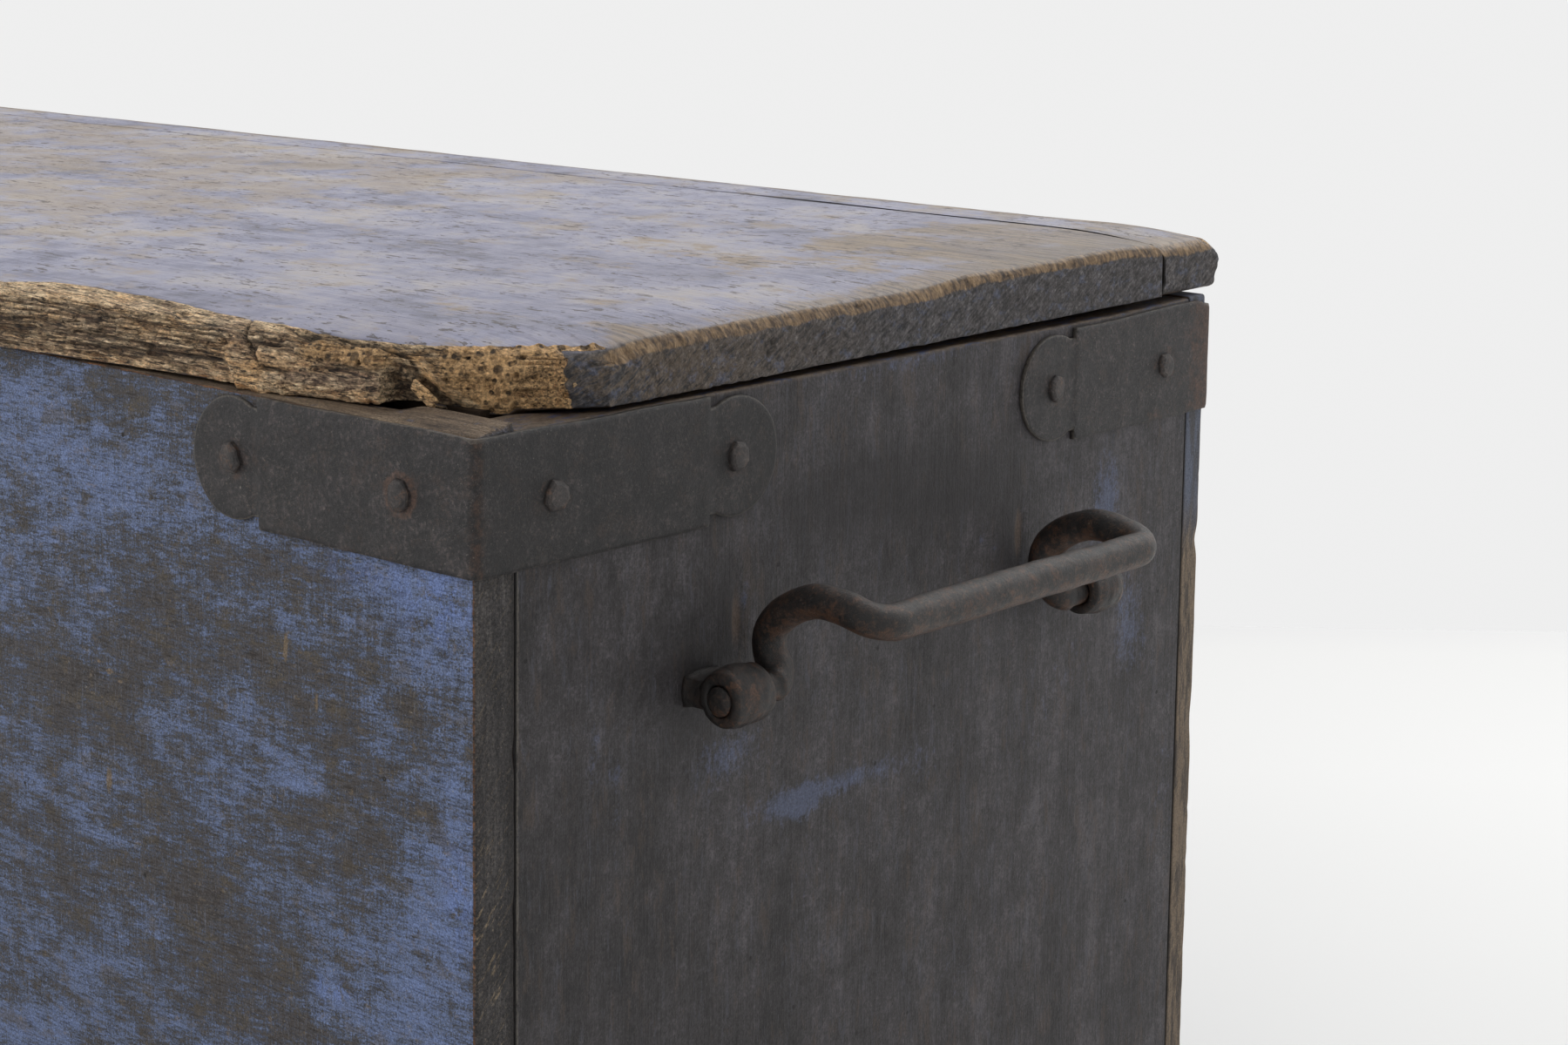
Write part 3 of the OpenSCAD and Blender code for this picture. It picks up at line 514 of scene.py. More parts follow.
def front_paint():
    f = Finish("front_paint", rough=0.6, spec=0.28)
    patch = f.noise(52, 44, 22, 10, 0.74, warp=0.35)
    spot = f.noise(15, 15, 7, 8, 0.74, at=(3, 9, 3), warp=0.3)
    wide = f.noise(150, 90, 70, 3, at=(2, 0, 4))
    up = f.noise(1.6, 1.5, 20, 5, 0.70)
    along = f.noise(17, 1.6, 1.3, 5, 0.70)
    slant = f.noise(16, 2, 1.8, 5, 0.68, turn=(0, 12, 0), at=(1, 0, 1))
    cloth = f.noise(1.0, 1.0, 1.0, 2, 0.75)
    cover = f.plus((patch, 0.86), (spot, 0.54), (wide, 0.40), (up, 0.34), (along, 0.42), (slant, 0.42),
                   (cloth, 0.60), (f.field("wear"), -0.088), -1.255)
    colour = f.ramp(cover, (0.26, 60, 54, 51), (0.40, 72, 68, 68), (0.47, 79, 80, 88),
                    (0.53, 89, 98, 119), (0.64, 95, 109, 143), (0.82, 106, 123, 164))
    colour = f.stains(
        colour,
        ("drab", (20, 16, 12), (5, 2, 9), 8, 0.72, 0.53, 0.60, 0.48, (88, 78, 62)),
        ("tan", (9, 9, 6), (1, 7, 3), 7, 0.78, 0.585, 0.64, 0.45, (122, 106, 84)),
        ("brush", (0.9, 0.9, 13), (3, 1, 0), 4, 0.7, 0.56, 0.66, 0.34, (120, 127, 144)))
    gap = f.band(f.noise(12, 1.1, 0.9, 4, 0.72, at=(3, 5, 2)), 0.55, 0.63)
    colour = f.tint(colour, gap, 0.48, 48, 44, 44)
    colour = f.stains(colour, ("mote", (2.4, 2.4, 2.2), (6, 2, 5), 5, 0.82, 0.56, 0.62, 0.42, (50, 45, 43)))
    flakes = f.times(f.field("flake"), f.band(f.noise(6, 5, 6, 7, 0.74), 0.47, 0.52))
    colour = f.tint(colour, flakes, 0.85, 102, 121, 170)
    chips = f.band(f.plus(f.field("chip"), (f.noise(3, 3, 5, 4, 0.7), 0.5), -0.25), 0.42, 0.6)
    colour = f.mix(f.times(chips, 0.8), colour, f.mix(along, rgb(84, 66, 48), rgb(150, 132, 108)))
    colour = f.pinholes(colour, 34, 0.036, 0.024, 30, 27, 27)
    colour = f.stains(
        colour,
        ("grains", (1.7, 1.7, 1.7), (9, 9, 1), 3, 0.85, 0.64, 0.70, 0.6, (146, 138, 124)))
    edge = f.band(f.plus(f.field("raw"), (f.noise(4, 4, 9, 6, 0.75), 0.8), -0.40), 0.46, 0.56)
    bare = f.mix(f.band(f.noise(12, 2, 3, 4), 0.4, 0.65), rgb(58, 46, 40), rgb(134, 92, 60))
    colour = f.mix(edge, colour, bare)
    ledge = raw_wood(f, (24, 1.8, 2), (62, 51, 43), (104, 88, 72), (138, 120, 98))
    ledge = f.stains(ledge, ("blue", (9, 5, 8), (1, 1, 1), 5, 0.65, 0.60, 0.66, 0.5, (74, 80, 100)))
    colour = f.mix(f.field("ledge"), colour, ledge)
    colour = f.mix(f.field("end"), colour, end_grain_paint(f))
    colour = f.mix(f.field("inner"), colour, raw_wood(f, (60, 2.2, 2.2), *INSIDE))
    # Near black: dark joints, and painted shade in nicks and hollows
    colour = f.mix(f.field("cav"), colour, rgb(22, 19, 18))
    colour = f.speckled(colour, 0.9, 2.6)
    f.relief((f.band(cover, 0.42, 0.56), 0.24), (up, 0.20), (along, 0.26), (f.times(cloth, 0.6), 0.50),
             (f.plus(gap, chips), -0.15))
    return f.done(colour, f.line(cover, -0.25, 0.72))


def end_grain_paint(f):
    """Charcoal paint on the end grain of the front board, with pale scratches and specks."""
    streak = f.noise(1.8, 1.5, 20, 5, 0.70)
    broad = f.noise(20, 9, 50, 6)
    fine = f.noise(1.3, 1.3, 1.6, 4, 0.80)
    tone = f.plus((streak, 0.42), (broad, 0.36), (fine, 0.50), -0.14)
    colour = f.ramp(tone, (0.38, 34, 32, 33), (0.5, 56, 53, 53), (0.62, 82, 78, 76))
    scratch = f.band(f.noise(2.2, 1.8, 13, 6, 0.78, turn=(38, 0, 0)), 0.55, 0.62)
    colour = f.mix(f.times(scratch, f.line(f.field("chip"), 0.8, 0.22)), colour, rgb(130, 114, 92))
    specks = f.band(f.noise(1.7, 1.7, 2.2, 4, 0.85, at=(3, 3, 3)), 0.60, 0.67)
    colour = f.tint(colour, specks, 0.7, 122, 111, 96)
    holes = f.band(f.noise(1.9, 1.9, 3.0, 4, 0.8, at=(8, 1, 3)), 0.60, 0.68)
    return f.tint(colour, holes, 0.6, 24, 22, 23)


def end_paint():
    f = Finish("end_paint", rough=0.55, spec=0.3)
    broad = f.noise(60, 30, 150, 6, 0.6)
    patch = f.noise(30, 18, 26, 9, 0.70, at=(4, 8, 1))
    streak = f.noise(2, 1.5, 34, 6, 0.72)
    hair = f.noise(1, 0.9, 12, 4, 0.78)
    fine = f.noise(1.3, 1.2, 1.5, 4, 0.82)
    smoke = f.noise(11, 7, 9, 8, 0.74, at=(1, 2, 6))
    grit = f.noise(2.6, 2.6, 2.8, 5, 0.80, at=(6, 6, 1))
    tone = f.plus((broad, 0.40), (patch, 0.42), (smoke, 0.40), (streak, 0.10), (hair, 0.06), (fine, 0.40),
                  (grit, 0.42), (f.field("far"), 0.035), -0.615)
    colour = f.ramp(tone, (0.36, 29, 27, 28), (0.45, 45, 42, 43), (0.54, 58, 55, 57), (0.65, 84, 80, 83))
    colour = f.stains(
        colour,
        ("drip", (9, 4, 22), (2, 5, 0), 8, 0.76, 0.55, 0.62, 0.40, (78, 79, 88)),
        ("light", (1, 0.9, 14), (5, 5, 0), 4, 0.7, 0.58, 0.68, 0.22, (96, 94, 99)),
        ("dark", (1.2, 1.1, 16), (7, 1, 0), 4, 0.72, 0.56, 0.65, 0.26, (30, 28, 29)),
        ("brown", (13, 6, 22), (9, 1, 4), 8, 0.74, 0.54, 0.62, 0.46, (74, 62, 54)))
    cover = f.plus((f.field("blue"), 0.66), (f.noise(7, 4.5, 10, 8, 0.80), 1.9), (grit, 1.3), (streak, 0.4),
                   -1.88)
    blue = f.band(cover, 0.26, 0.78)
    colour = f.mix(f.times(blue, 0.68), colour, f.mix(grit, rgb(58, 64, 82), rgb(100, 110, 140)))
    colour = f.stains(
        colour,
        ("specks", (1.7, 1.4, 2.0), (7, 7, 7), 4, 0.85, 0.63, 0.69, 0.6, (120, 110, 99)),
        ("pinholes", (1.8, 1.6, 2.6), (3, 7, 1), 4, 0.82, 0.62, 0.70, 0.6, (26, 24, 25)),
        ("scuff", (5, 3, 7), (1, 7, 2), 7, 0.8, 0.63, 0.68, 0.5, (108, 106, 108)))
    # Painted shadow of the handle beside its eyes and legs, and a darker arc over the bar
    colour = f.tint(colour, f.field("handle_shadow_and_dark_arc"), 0.62, 30, 27, 28)
    dent = f.band(f.field("dent"), 0.3, 0.75)
    colour = f.mix(f.times(dent, 0.62), colour, f.mix(fine, rgb(76, 64, 56), rgb(118, 98, 82)))
    colour = f.pinholes(colour, 30, 0.042, 0.026, 18, 16, 16)
    top = f.mix(f.band(f.noise(3, 9, 3, 6, 0.75), 0.42, 0.56), rgb(60, 47, 37), rgb(92, 78, 64))
    top = f.mix(f.band(f.noise(3, 14, 3, 6, 0.75, at=(5, 5, 5)), 0.52, 0.60), top, rgb(50, 58, 84))
    colour = f.mix(f.field("ledge"), colour, top)
    colour = f.mix(f.field("inner"), colour, raw_wood(f, (2.2, 2.2, 60), *INSIDE))
    colour = f.scaled(colour, f.line(f.noise(30, 30, 60, 3, at=(2, 2, 9)), 0.2, 0.80))
    rim = f.band(f.plus(f.field("edge"), (f.noise(1.4, 1.2, 7, 5, 0.85), 1.2), -0.78), 0.50, 0.60)
    colour = f.tint(colour, rim, 0.6, 104, 98, 90)
    colour = f.mix(f.field("cav"), colour, rgb(14, 12, 12))
    colour = f.grainy(colour, f.noise(1.0, 0.9, 1.0, 2, 0.7, at=(4, 4, 4)), 1.8)
    f.relief((streak, 0.14), (hair, 0.10), (f.plus(fine, grit), 0.40))
    return f.done(colour, f.line(fine, 0.3, 0.38))


def back_paint():
    f = Finish("back_paint", rough=0.65, spec=0.25)
    broad = f.noise(90, 60, 40, 6, 0.6)
    streak = f.noise(50, 2.2, 2, 6, 0.68)
    fine = f.noise(1.3, 1.3, 1.3, 4, 0.8)
    tone = f.plus((broad, 0.40), (streak, 0.40), (fine, 0.30), -0.05)
    colour = f.ramp(tone, (0.38, 54, 51, 51), (0.5, 74, 72, 74), (0.62, 90, 89, 95))
    blue = f.band(f.plus((broad, 0.6), (f.noise(24, 5, 9, 7, 0.72), 0.6)), 0.58, 0.66)
    colour = f.tint(colour, blue, 0.6, 84, 93, 120)
    side = end_grain_paint(f)
    upper = f.mix(f.band(f.noise(6, 5, 40, 6, 0.7, at=(2, 2, 0)), 0.4, 0.6), rgb(74, 74, 78), rgb(92, 99, 116))
    lower = f.mix(f.band(f.noise(6, 4, 30, 7, 0.74, at=(2, 6, 0)), 0.42, 0.56), rgb(70, 62, 55),
                  rgb(122, 106, 88))
    side = f.mix(0.72, side, f.mix(f.field("chip"), upper, lower))
    colour = f.mix(f.field("end"), colour, side)
    edge = f.band(f.plus(f.field("raw"), (f.noise(5, 5, 12, 5, 0.7), 0.6), -0.3), 0.42, 0.6)
    colour = f.mix(edge, colour, f.mix(fine, rgb(74, 62, 52), rgb(130, 112, 90)))
    colour = f.mix(f.field("inner"), colour, raw_wood(f, (60, 2.2, 2.2), *INSIDE))
    colour = f.mix(f.field("cav"), colour, rgb(14, 12, 12))
    colour = f.speckled(colour, 1.0, 1.8)
    f.relief((streak, 0.2), (fine, 0.25))
    return f.done(colour)


def lid_finish(name):
    """Pale worn paint over wood: raw on the front edge, rough painted end grain."""
    f = Finish(name, rough=0.55, spec=0.45)
    raw, cav, end, rise = f.field("raw"), f.field("cav"), f.field("end"), f.field("rise")
    broad = f.noise(150, 80, 40, 6, 0.6)
    streak = f.noise(44, 2.6, 6, 7, 0.72)
    hair = f.noise(14, 1.1, 2, 4, 0.76)
    cloud = f.noise(24, 24, 14, 8, 0.68, at=(4, 4, 0))
    tone = f.plus((broad, 0.90), (streak, 0.30), (cloud, 0.78), (hair, 0.16), -0.57)
    colour = f.ramp(tone, (0.28, 98, 98, 112), (0.41, 130, 131, 152), (0.52, 148, 148, 167),
                    (0.64, 166, 162, 168), (0.8, 177, 168, 160))
    tan = f.plus((f.noise(52, 44, 20, 9, 0.70, at=(3, 1, 0)), 0.98), (streak, 0.12), (f.field("tan"), 0.12))
    colour = f.tint(colour, f.band(tan, 0.58, 0.70), 0.6, 156, 140, 118)
    dull = f.times(f.field("wear"), f.band(cloud, 0.36, 0.56))
    colour = f.tint(colour, dull, 0.34, 116, 102, 92)
    worn = f.band(f.plus(tan, (f.field("wear"), 0.30)), 0.72, 0.86)
    bare = f.mix(f.band(streak, 0.35, 0.6), rgb(84, 72, 60), rgb(150, 130, 104))
    colour = f.mix(f.times(worn, 0.72), colour, bare)
    grey = f.band(f.noise(30, 20, 12, 8, 0.72, at=(7, 1, 0)), 0.53, 0.63)
    colour = f.tint(colour, grey, 0.24, 116, 112, 116)
    # Darker where the wear field is high: towards the right-hand end of the lid and along the back of the rear
    # strip
    colour = f.scaled(colour, f.least(f.line(f.field("wear"), -0.26, 1.10), 1.0))
    dash = f.noise(10, 3.6, 4, 3, 0.62, at=(8, 2, 0))
    zone = f.band(f.noise(50, 30, 30, 3, at=(1, 6, 0)), 0.38, 0.55)
    specks = f.band(f.noise(4.5, 2.2, 3, 3, 0.62, at=(1, 5, 2)), 0.655, 0.67)
    marks = f.times(f.most(f.band(dash, 0.60, 0.615), specks), zone)
    colour = f.tint(colour, marks, 0.85, 72, 62, 58)
    lines = f.band(f.noise(26, 1.0, 2, 4, 0.7, at=(2, 8, 0)), 0.58, 0.68)
    colour = f.tint(colour, f.times(lines, zone), 0.14, 98, 92, 92)
    colour = f.pinholes(colour, 22, 0.05, 0.032, 34, 28, 24)

    fibre = f.noise(20, 1.3, 1.3, 6, 0.74)
    fine = f.noise(6, 0.8, 0.8, 4, 0.76)
    lump = f.noise(5, 4.5, 4.5, 7, 0.74, at=(2, 2, 2))
    chunk = f.chunks(9, 1.5, 1.5, at=(3, 3, 3))
    spongy, gold, facet = f.field("spongy"), f.field("gold"), f.field("facet")
    lines_down = f.noise(30, 3, 1.1, 4, 0.66, turn=(0, -31, 0), at=(5, 1, 3))
    crumb = f.noise(3.0, 2.6, 2.6, 6, 0.78, at=(1, 4, 4))
    loose = f.times(spongy, gold)
    fine = f.toward(fine, f.noise(1.6, 1.6, 1.6, 4, 0.76, at=(3, 3, 1)), loose)
    chunk = f.toward(chunk, 0.5, loose)
    grain = f.toward(fibre, lines_down, facet)
    grain = f.line(f.math("SUBTRACT", crumb, fibre), loose, grain)
    tone = f.plus((grain, 0.62), (fine, 0.30), (lump, 0.34), (chunk, 0.24), (f.field("tone"), 0.18),
                  (rise, 0.08), (gold, 0.05), (facet, 0.07), -0.225)
    wood = f.ramp(tone, (0.33, 54, 38, 28), (0.41, 106, 82, 62), (0.48, 148, 121, 92),
                  (0.56, 184, 155, 120), (0.68, 216, 190, 154))
    warm = f.band(f.plus((f.noise(26, 9, 7, 6, 0.66, at=(6, 6, 2)), 0.8), (gold, 0.30)), 0.38, 0.60)
    golden = f.ramp(tone, (0.33, 70, 44, 27), (0.45, 146, 105, 66), (0.60, 212, 168, 114))
    wood = f.mix(f.times(warm, 0.80), wood, golden)
    dusty = f.ramp(tone, (0.33, 62, 50, 45), (0.47, 108, 92, 80), (0.62, 156, 138, 120))
    grey = f.times(f.band(f.noise(40, 14, 8, 6, 0.66, at=(2, 9, 2)), 0.47, 0.60), f.rest(gold))
    wood = f.mix(f.times(f.most(f.times(grey, 0.7), f.field("dusk")), 0.60), wood, dusty)
    low = f.times(f.field("lip"), f.band(f.noise(16, 6, 3, 5, 0.7, at=(5, 5, 5)), 0.50, 0.62))
    wood = f.tint(wood, low, 0.75, 158, 108, 60)
    near_hole = f.holes(3.4, 3.4, 3.4)
    far_hole = f.holes(8, 8, 8, at=(4, 4, 4))
    wide_hole = f.holes(6.4, 5.6, 5.6, at=(9, 2, 6))
    few = f.band(f.noise(30, 14, 14, 2, at=(7, 7, 7)), 0.48, 0.6)
    high = f.band(rise, 0.42, 0.62)
    worm = f.plus(f.times(f.band(near_hole, 0.36, 0.24), spongy, f.band(lump, 0.44, 0.52)),
                  f.times(f.band(wide_hole, 0.38, 0.28), loose, f.band(rise, 0.28, 0.5)),
                  f.times(f.band(far_hole, 0.13, 0.09), few, 0.9))
    worm = f.least(worm, 1.0)
    cracks = f.times(f.band(f.noise(14, 1.2, 1.0, 5, 0.72, at=(1, 3, 8)), 0.565, 0.605),
                     f.rest(f.most(facet, loose)), 0.88)
    black = f.times(f.band(lump, 0.56, 0.64), spongy, high, gold, 0.75)
    # Painted shade in the edge's recesses, worm holes and cracks, darkened nearly to black
    deep = f.least(f.plus((cav, 0.9), (worm, 0.95), cracks, black), 1.0)
    wood = f.tint(wood, deep, 0.94, 28, 20, 15)
    thread = f.noise(5.5, 1.0, 0.9, 3, 0.72, at=(4, 4, 4))
    wood = f.grainy(wood, f.toward(thread, crumb, loose), 4.6)
    wood = f.speckled(wood, 1.1, 1.8, (1, 4, 4))

    slope = f.noise(12, 9, 1.4, 6, 0.74, turn=(-33, 0, 0))
    mottle = f.noise(6, 4.5, 4.5, 7, 0.72)
    gritty = f.noise(1.5, 1.3, 1.3, 4, 0.82)
    grain_end = f.ramp(f.plus((slope, 0.66), (mottle, 0.50), (gritty, 0.34), -0.26),
                       (0.38, 30, 28, 30), (0.47, 58, 56, 58), (0.56, 86, 84, 87), (0.68, 120, 117, 117))
    olive = f.times(f.band(f.plus(slope, (rise, 0.12)), 0.50, 0.62), f.field("olive"))
    grain_end = f.mix(f.times(olive, 0.62), grain_end, f.mix(gritty, rgb(72, 57, 40), rgb(120, 101, 75)))
    blue = f.band(f.noise(9, 7, 5, 7, 0.72, at=(3, 2, 2)), 0.53, 0.63)
    grain_end = f.tint(grain_end, blue, 0.45, 84, 93, 116)
    grain_end = f.stains(grain_end, ("blots", (6, 6, 4), (1, 8, 8), 7, 0.76, 0.555, 0.60, 0.72, (36, 33, 33)))
    grain_end = f.speckled(grain_end, 1.2, 2.0, (1, 4, 4))
    colour = f.mix(end, colour, grain_end)

    comb = f.noise(9, 2.6, 6, 6, 0.74, at=(0, 2, 0), warp=0.4)
    brim = f.ramp(f.plus((comb, 0.75), (mottle, 0.35), -0.05), (0.38, 50, 40, 34), (0.47, 96, 78, 60),
                  (0.55, 134, 110, 82), (0.66, 166, 142, 112))
    brim_at = f.plus(f.field("brim"), (mottle, 0.6), (comb, 0.35), -0.48)
    colour = f.mix(f.band(brim_at, 0.36, 0.62), colour, brim)

    wood = f.scaled(wood, f.line(gold, -0.32, 1.30))
    edge = f.plus(raw, (streak, 0.5), (f.noise(6, 3.5, 3.5, 7, 0.72), 0.5), -0.5)
    is_raw = f.band(edge, 0.42, 0.54)
    colour = f.mix(is_raw, colour, wood)
    # Painted shade in the gaps, cracks and pits of the painted surfaces, with the dark seam of the rear strip
    colour = f.mix(f.times(cav, f.rest(is_raw)), colour, rgb(26, 22, 20))
    colour = f.mix(f.field("inner"), colour, raw_wood(f, (60, 2.2, 2.2), *INSIDE))

    for value, mm in ((grain, 1.7), (fine, 0.7), (chunk, 0.6), (lump, 0.9), (deep, -1.3)):
        f.relief((f.times(is_raw, value), mm))
    f.relief((f.times(end, f.plus((slope, 0.8), (mottle, 0.7), (gritty, 0.5))), 1.0),
             (f.times(f.field("brim"), comb), 0.9), (streak, 0.16), (hair, 0.08),
             (f.plus(marks, (lines, 0.5)), -0.3))
    rough = f.line(f.most(is_raw, end), 0.28, 0.50)
    return f.done(colour, rough)


def strap_finish():
    f = Finish("strap_paint", rough=0.5, spec=0.4)
    fine = f.noise(2.3, 2.3, 2.3, 5, 0.84)
    mid = f.noise(11, 11, 11, 8, 0.74)
    tone = f.plus((fine, 1.0), (mid, 0.66), -0.33)
    colour = f.ramp(tone, (0.36, 13, 11, 12), (0.47, 31, 28, 29), (0.57, 50, 46, 47), (0.68, 86, 77, 75))
    speck = f.band(f.noise(1.5, 1.5, 1.5, 4, 0.85, at=(3, 3, 3)), 0.57, 0.63)
    where = f.band(f.noise(18, 18, 18, 4, at=(6, 1, 1)), 0.40, 0.56)
    colour = f.tint(colour, f.times(speck, where), 0.6, 102, 87, 74)
    colour = f.stains(
        colour,
        ("white", (1.3, 1.3, 1.3), (8, 3, 3), 3, 0.85, 0.63, 0.69, 0.6, (146, 139, 130)),
        ("brown", (10, 10, 10), (2, 7, 1), 8, 0.75, 0.54, 0.62, 0.45, (66, 52, 45)))
    rust = f.plus(f.field("rust"), (f.noise(5.5, 5.5, 5.5, 8, 0.78, at=(5, 1, 2)), 2.0), -1.0)
    colour = f.mix(f.times(f.band(rust, 0.30, 0.80), 0.66), colour,
                   f.mix(fine, rgb(54, 38, 31), rgb(118, 84, 63)))
    scrape = f.noise(8, 8, 1.2, 6, 0.75, turn=(0, 30, 0))
    colour = f.tint(colour, f.band(scrape, 0.60, 0.67), 0.4, 98, 92, 88)
    # Pale worn rims, with a painted highlight at the top of each corner bend
    edge = f.band(f.plus(f.field("edge"), (f.noise(3, 3, 3, 6, 0.78), 1.0), -0.5), 0.46, 0.60)
    colour = f.tint(colour, edge, 0.5, 108, 101, 92)
    colour = f.grainy(colour, f.noise(1.4, 1.4, 1.4, 3, 0.75, at=(4, 4, 4)), 3.4)
    # Painted shade: the end leg of each strap is darker, half as much on the rear straps
    shade = f.line(f.field("leg"), -0.33, 0.82)
    colour = f.scaled(colour, shade)
    f.relief((fine, 0.55), (mid, 0.7))
    return f.done(colour, f.line(fine, 0.35, 0.36))


def nail_finish():
    f = Finish("nail_iron", rough=0.5, spec=0.4)
    fine = f.noise(1.3, 1.3, 1.3, 5, 0.8)
    mid = f.noise(6, 6, 6, 5)
    colour = f.ramp(f.plus((fine, 0.6), (mid, 0.5), -0.05),
                    (0.36, 28, 25, 25), (0.5, 48, 43, 42), (0.64, 76, 67, 62))
    colour = f.stains(colour, ("rust", (7, 7, 7), (4, 4, 4), 8, 0.74, 0.53, 0.62, 0.55, (92, 66, 48)))
    colour = f.speckled(colour, 0.9, 2.4)
    f.relief((fine, 0.4))
    return f.done(colour)


def handle_finish(name, tint):
    """Rusty forged iron; tint 1 is browner, 0 greyer."""
    f = Finish(name, rough=0.45, spec=0.42)
    fine = f.noise(1.5, 1.5, 1.5, 5, 0.82)
    mid = f.noise(8, 8, 8, 7, 0.72)
    grip = f.field("grip")
    tone = f.plus((fine, 0.62), (mid, 0.62), -0.12)
    dark = f.ramp(tone, (0.40, 9, 8, 8), (0.5, 22, 17, 16), (0.60, 62, 45, 36))
    worn = f.ramp(tone, (0.40, 16, 13, 13), (0.5, 35, 30, 28), (0.60, 70, 59, 52))
    colour = f.mix(grip, dark, worn)
    rust = f.band(f.plus(f.noise(7, 7, 7, 8, 0.76, at=(4, 1, 4)), (f.field("low"), 0.12)), 0.53, 0.60)
    colour = f.mix(f.times(rust, 0.42 + 0.3 * tint), colour, f.mix(fine, rgb(52, 32, 22), rgb(122, 82, 54)))
    colour = f.stains(
        colour,
        ("black", (8, 8, 8), (8, 8, 2), 8, 0.76, 0.51, 0.57, 0.68, (20, 18, 18)),
        ("pale", (2.0, 2.0, 2.0), (1, 8, 2), 4, 0.82, 0.62, 0.68, 0.5, (120, 108, 97)))
    flecks = f.band(f.noise(3.2, 3.2, 3.2, 6, 0.8, at=(5, 2, 7)), 0.54, 0.61)
    colour = f.mix(f.times(flecks, f.line(grip, 0.3, 0.25)), colour, rgb(106, 78, 59))
    # Painted shade on the wall side of each eye, darkened nearly to black
    colour = f.tint(colour, f.field("hole"), 0.85, 20, 16, 15)
    colour = f.speckled(colour, 0.9, 2.4)
    f.relief((fine, 0.40), (mid, 0.55))
    return f.done(f.scaled(colour, 0.74), f.line(fine, 0.45, 0.24))


def hinge_finish():
    f = Finish("hinge_iron", rough=0.55, spec=0.4)
    fine = f.noise(2, 2, 2, 5, 0.75)
    mid = f.noise(16, 16, 16, 5)
    colour = f.ramp(f.plus((fine, 0.5), (mid, 0.5)),
                    (0.38, 46, 43, 42), (0.5, 62, 57, 55), (0.64, 84, 74, 67))
    colour = f.stains(colour, ("rust", (14, 14, 14), (1, 5, 5), 6, 0.65, 0.54, 0.7, 0.5, (108, 72, 50)))
    f.relief((fine, 0.15), (mid, 0.3))
    return f.done(colour)


# Boards

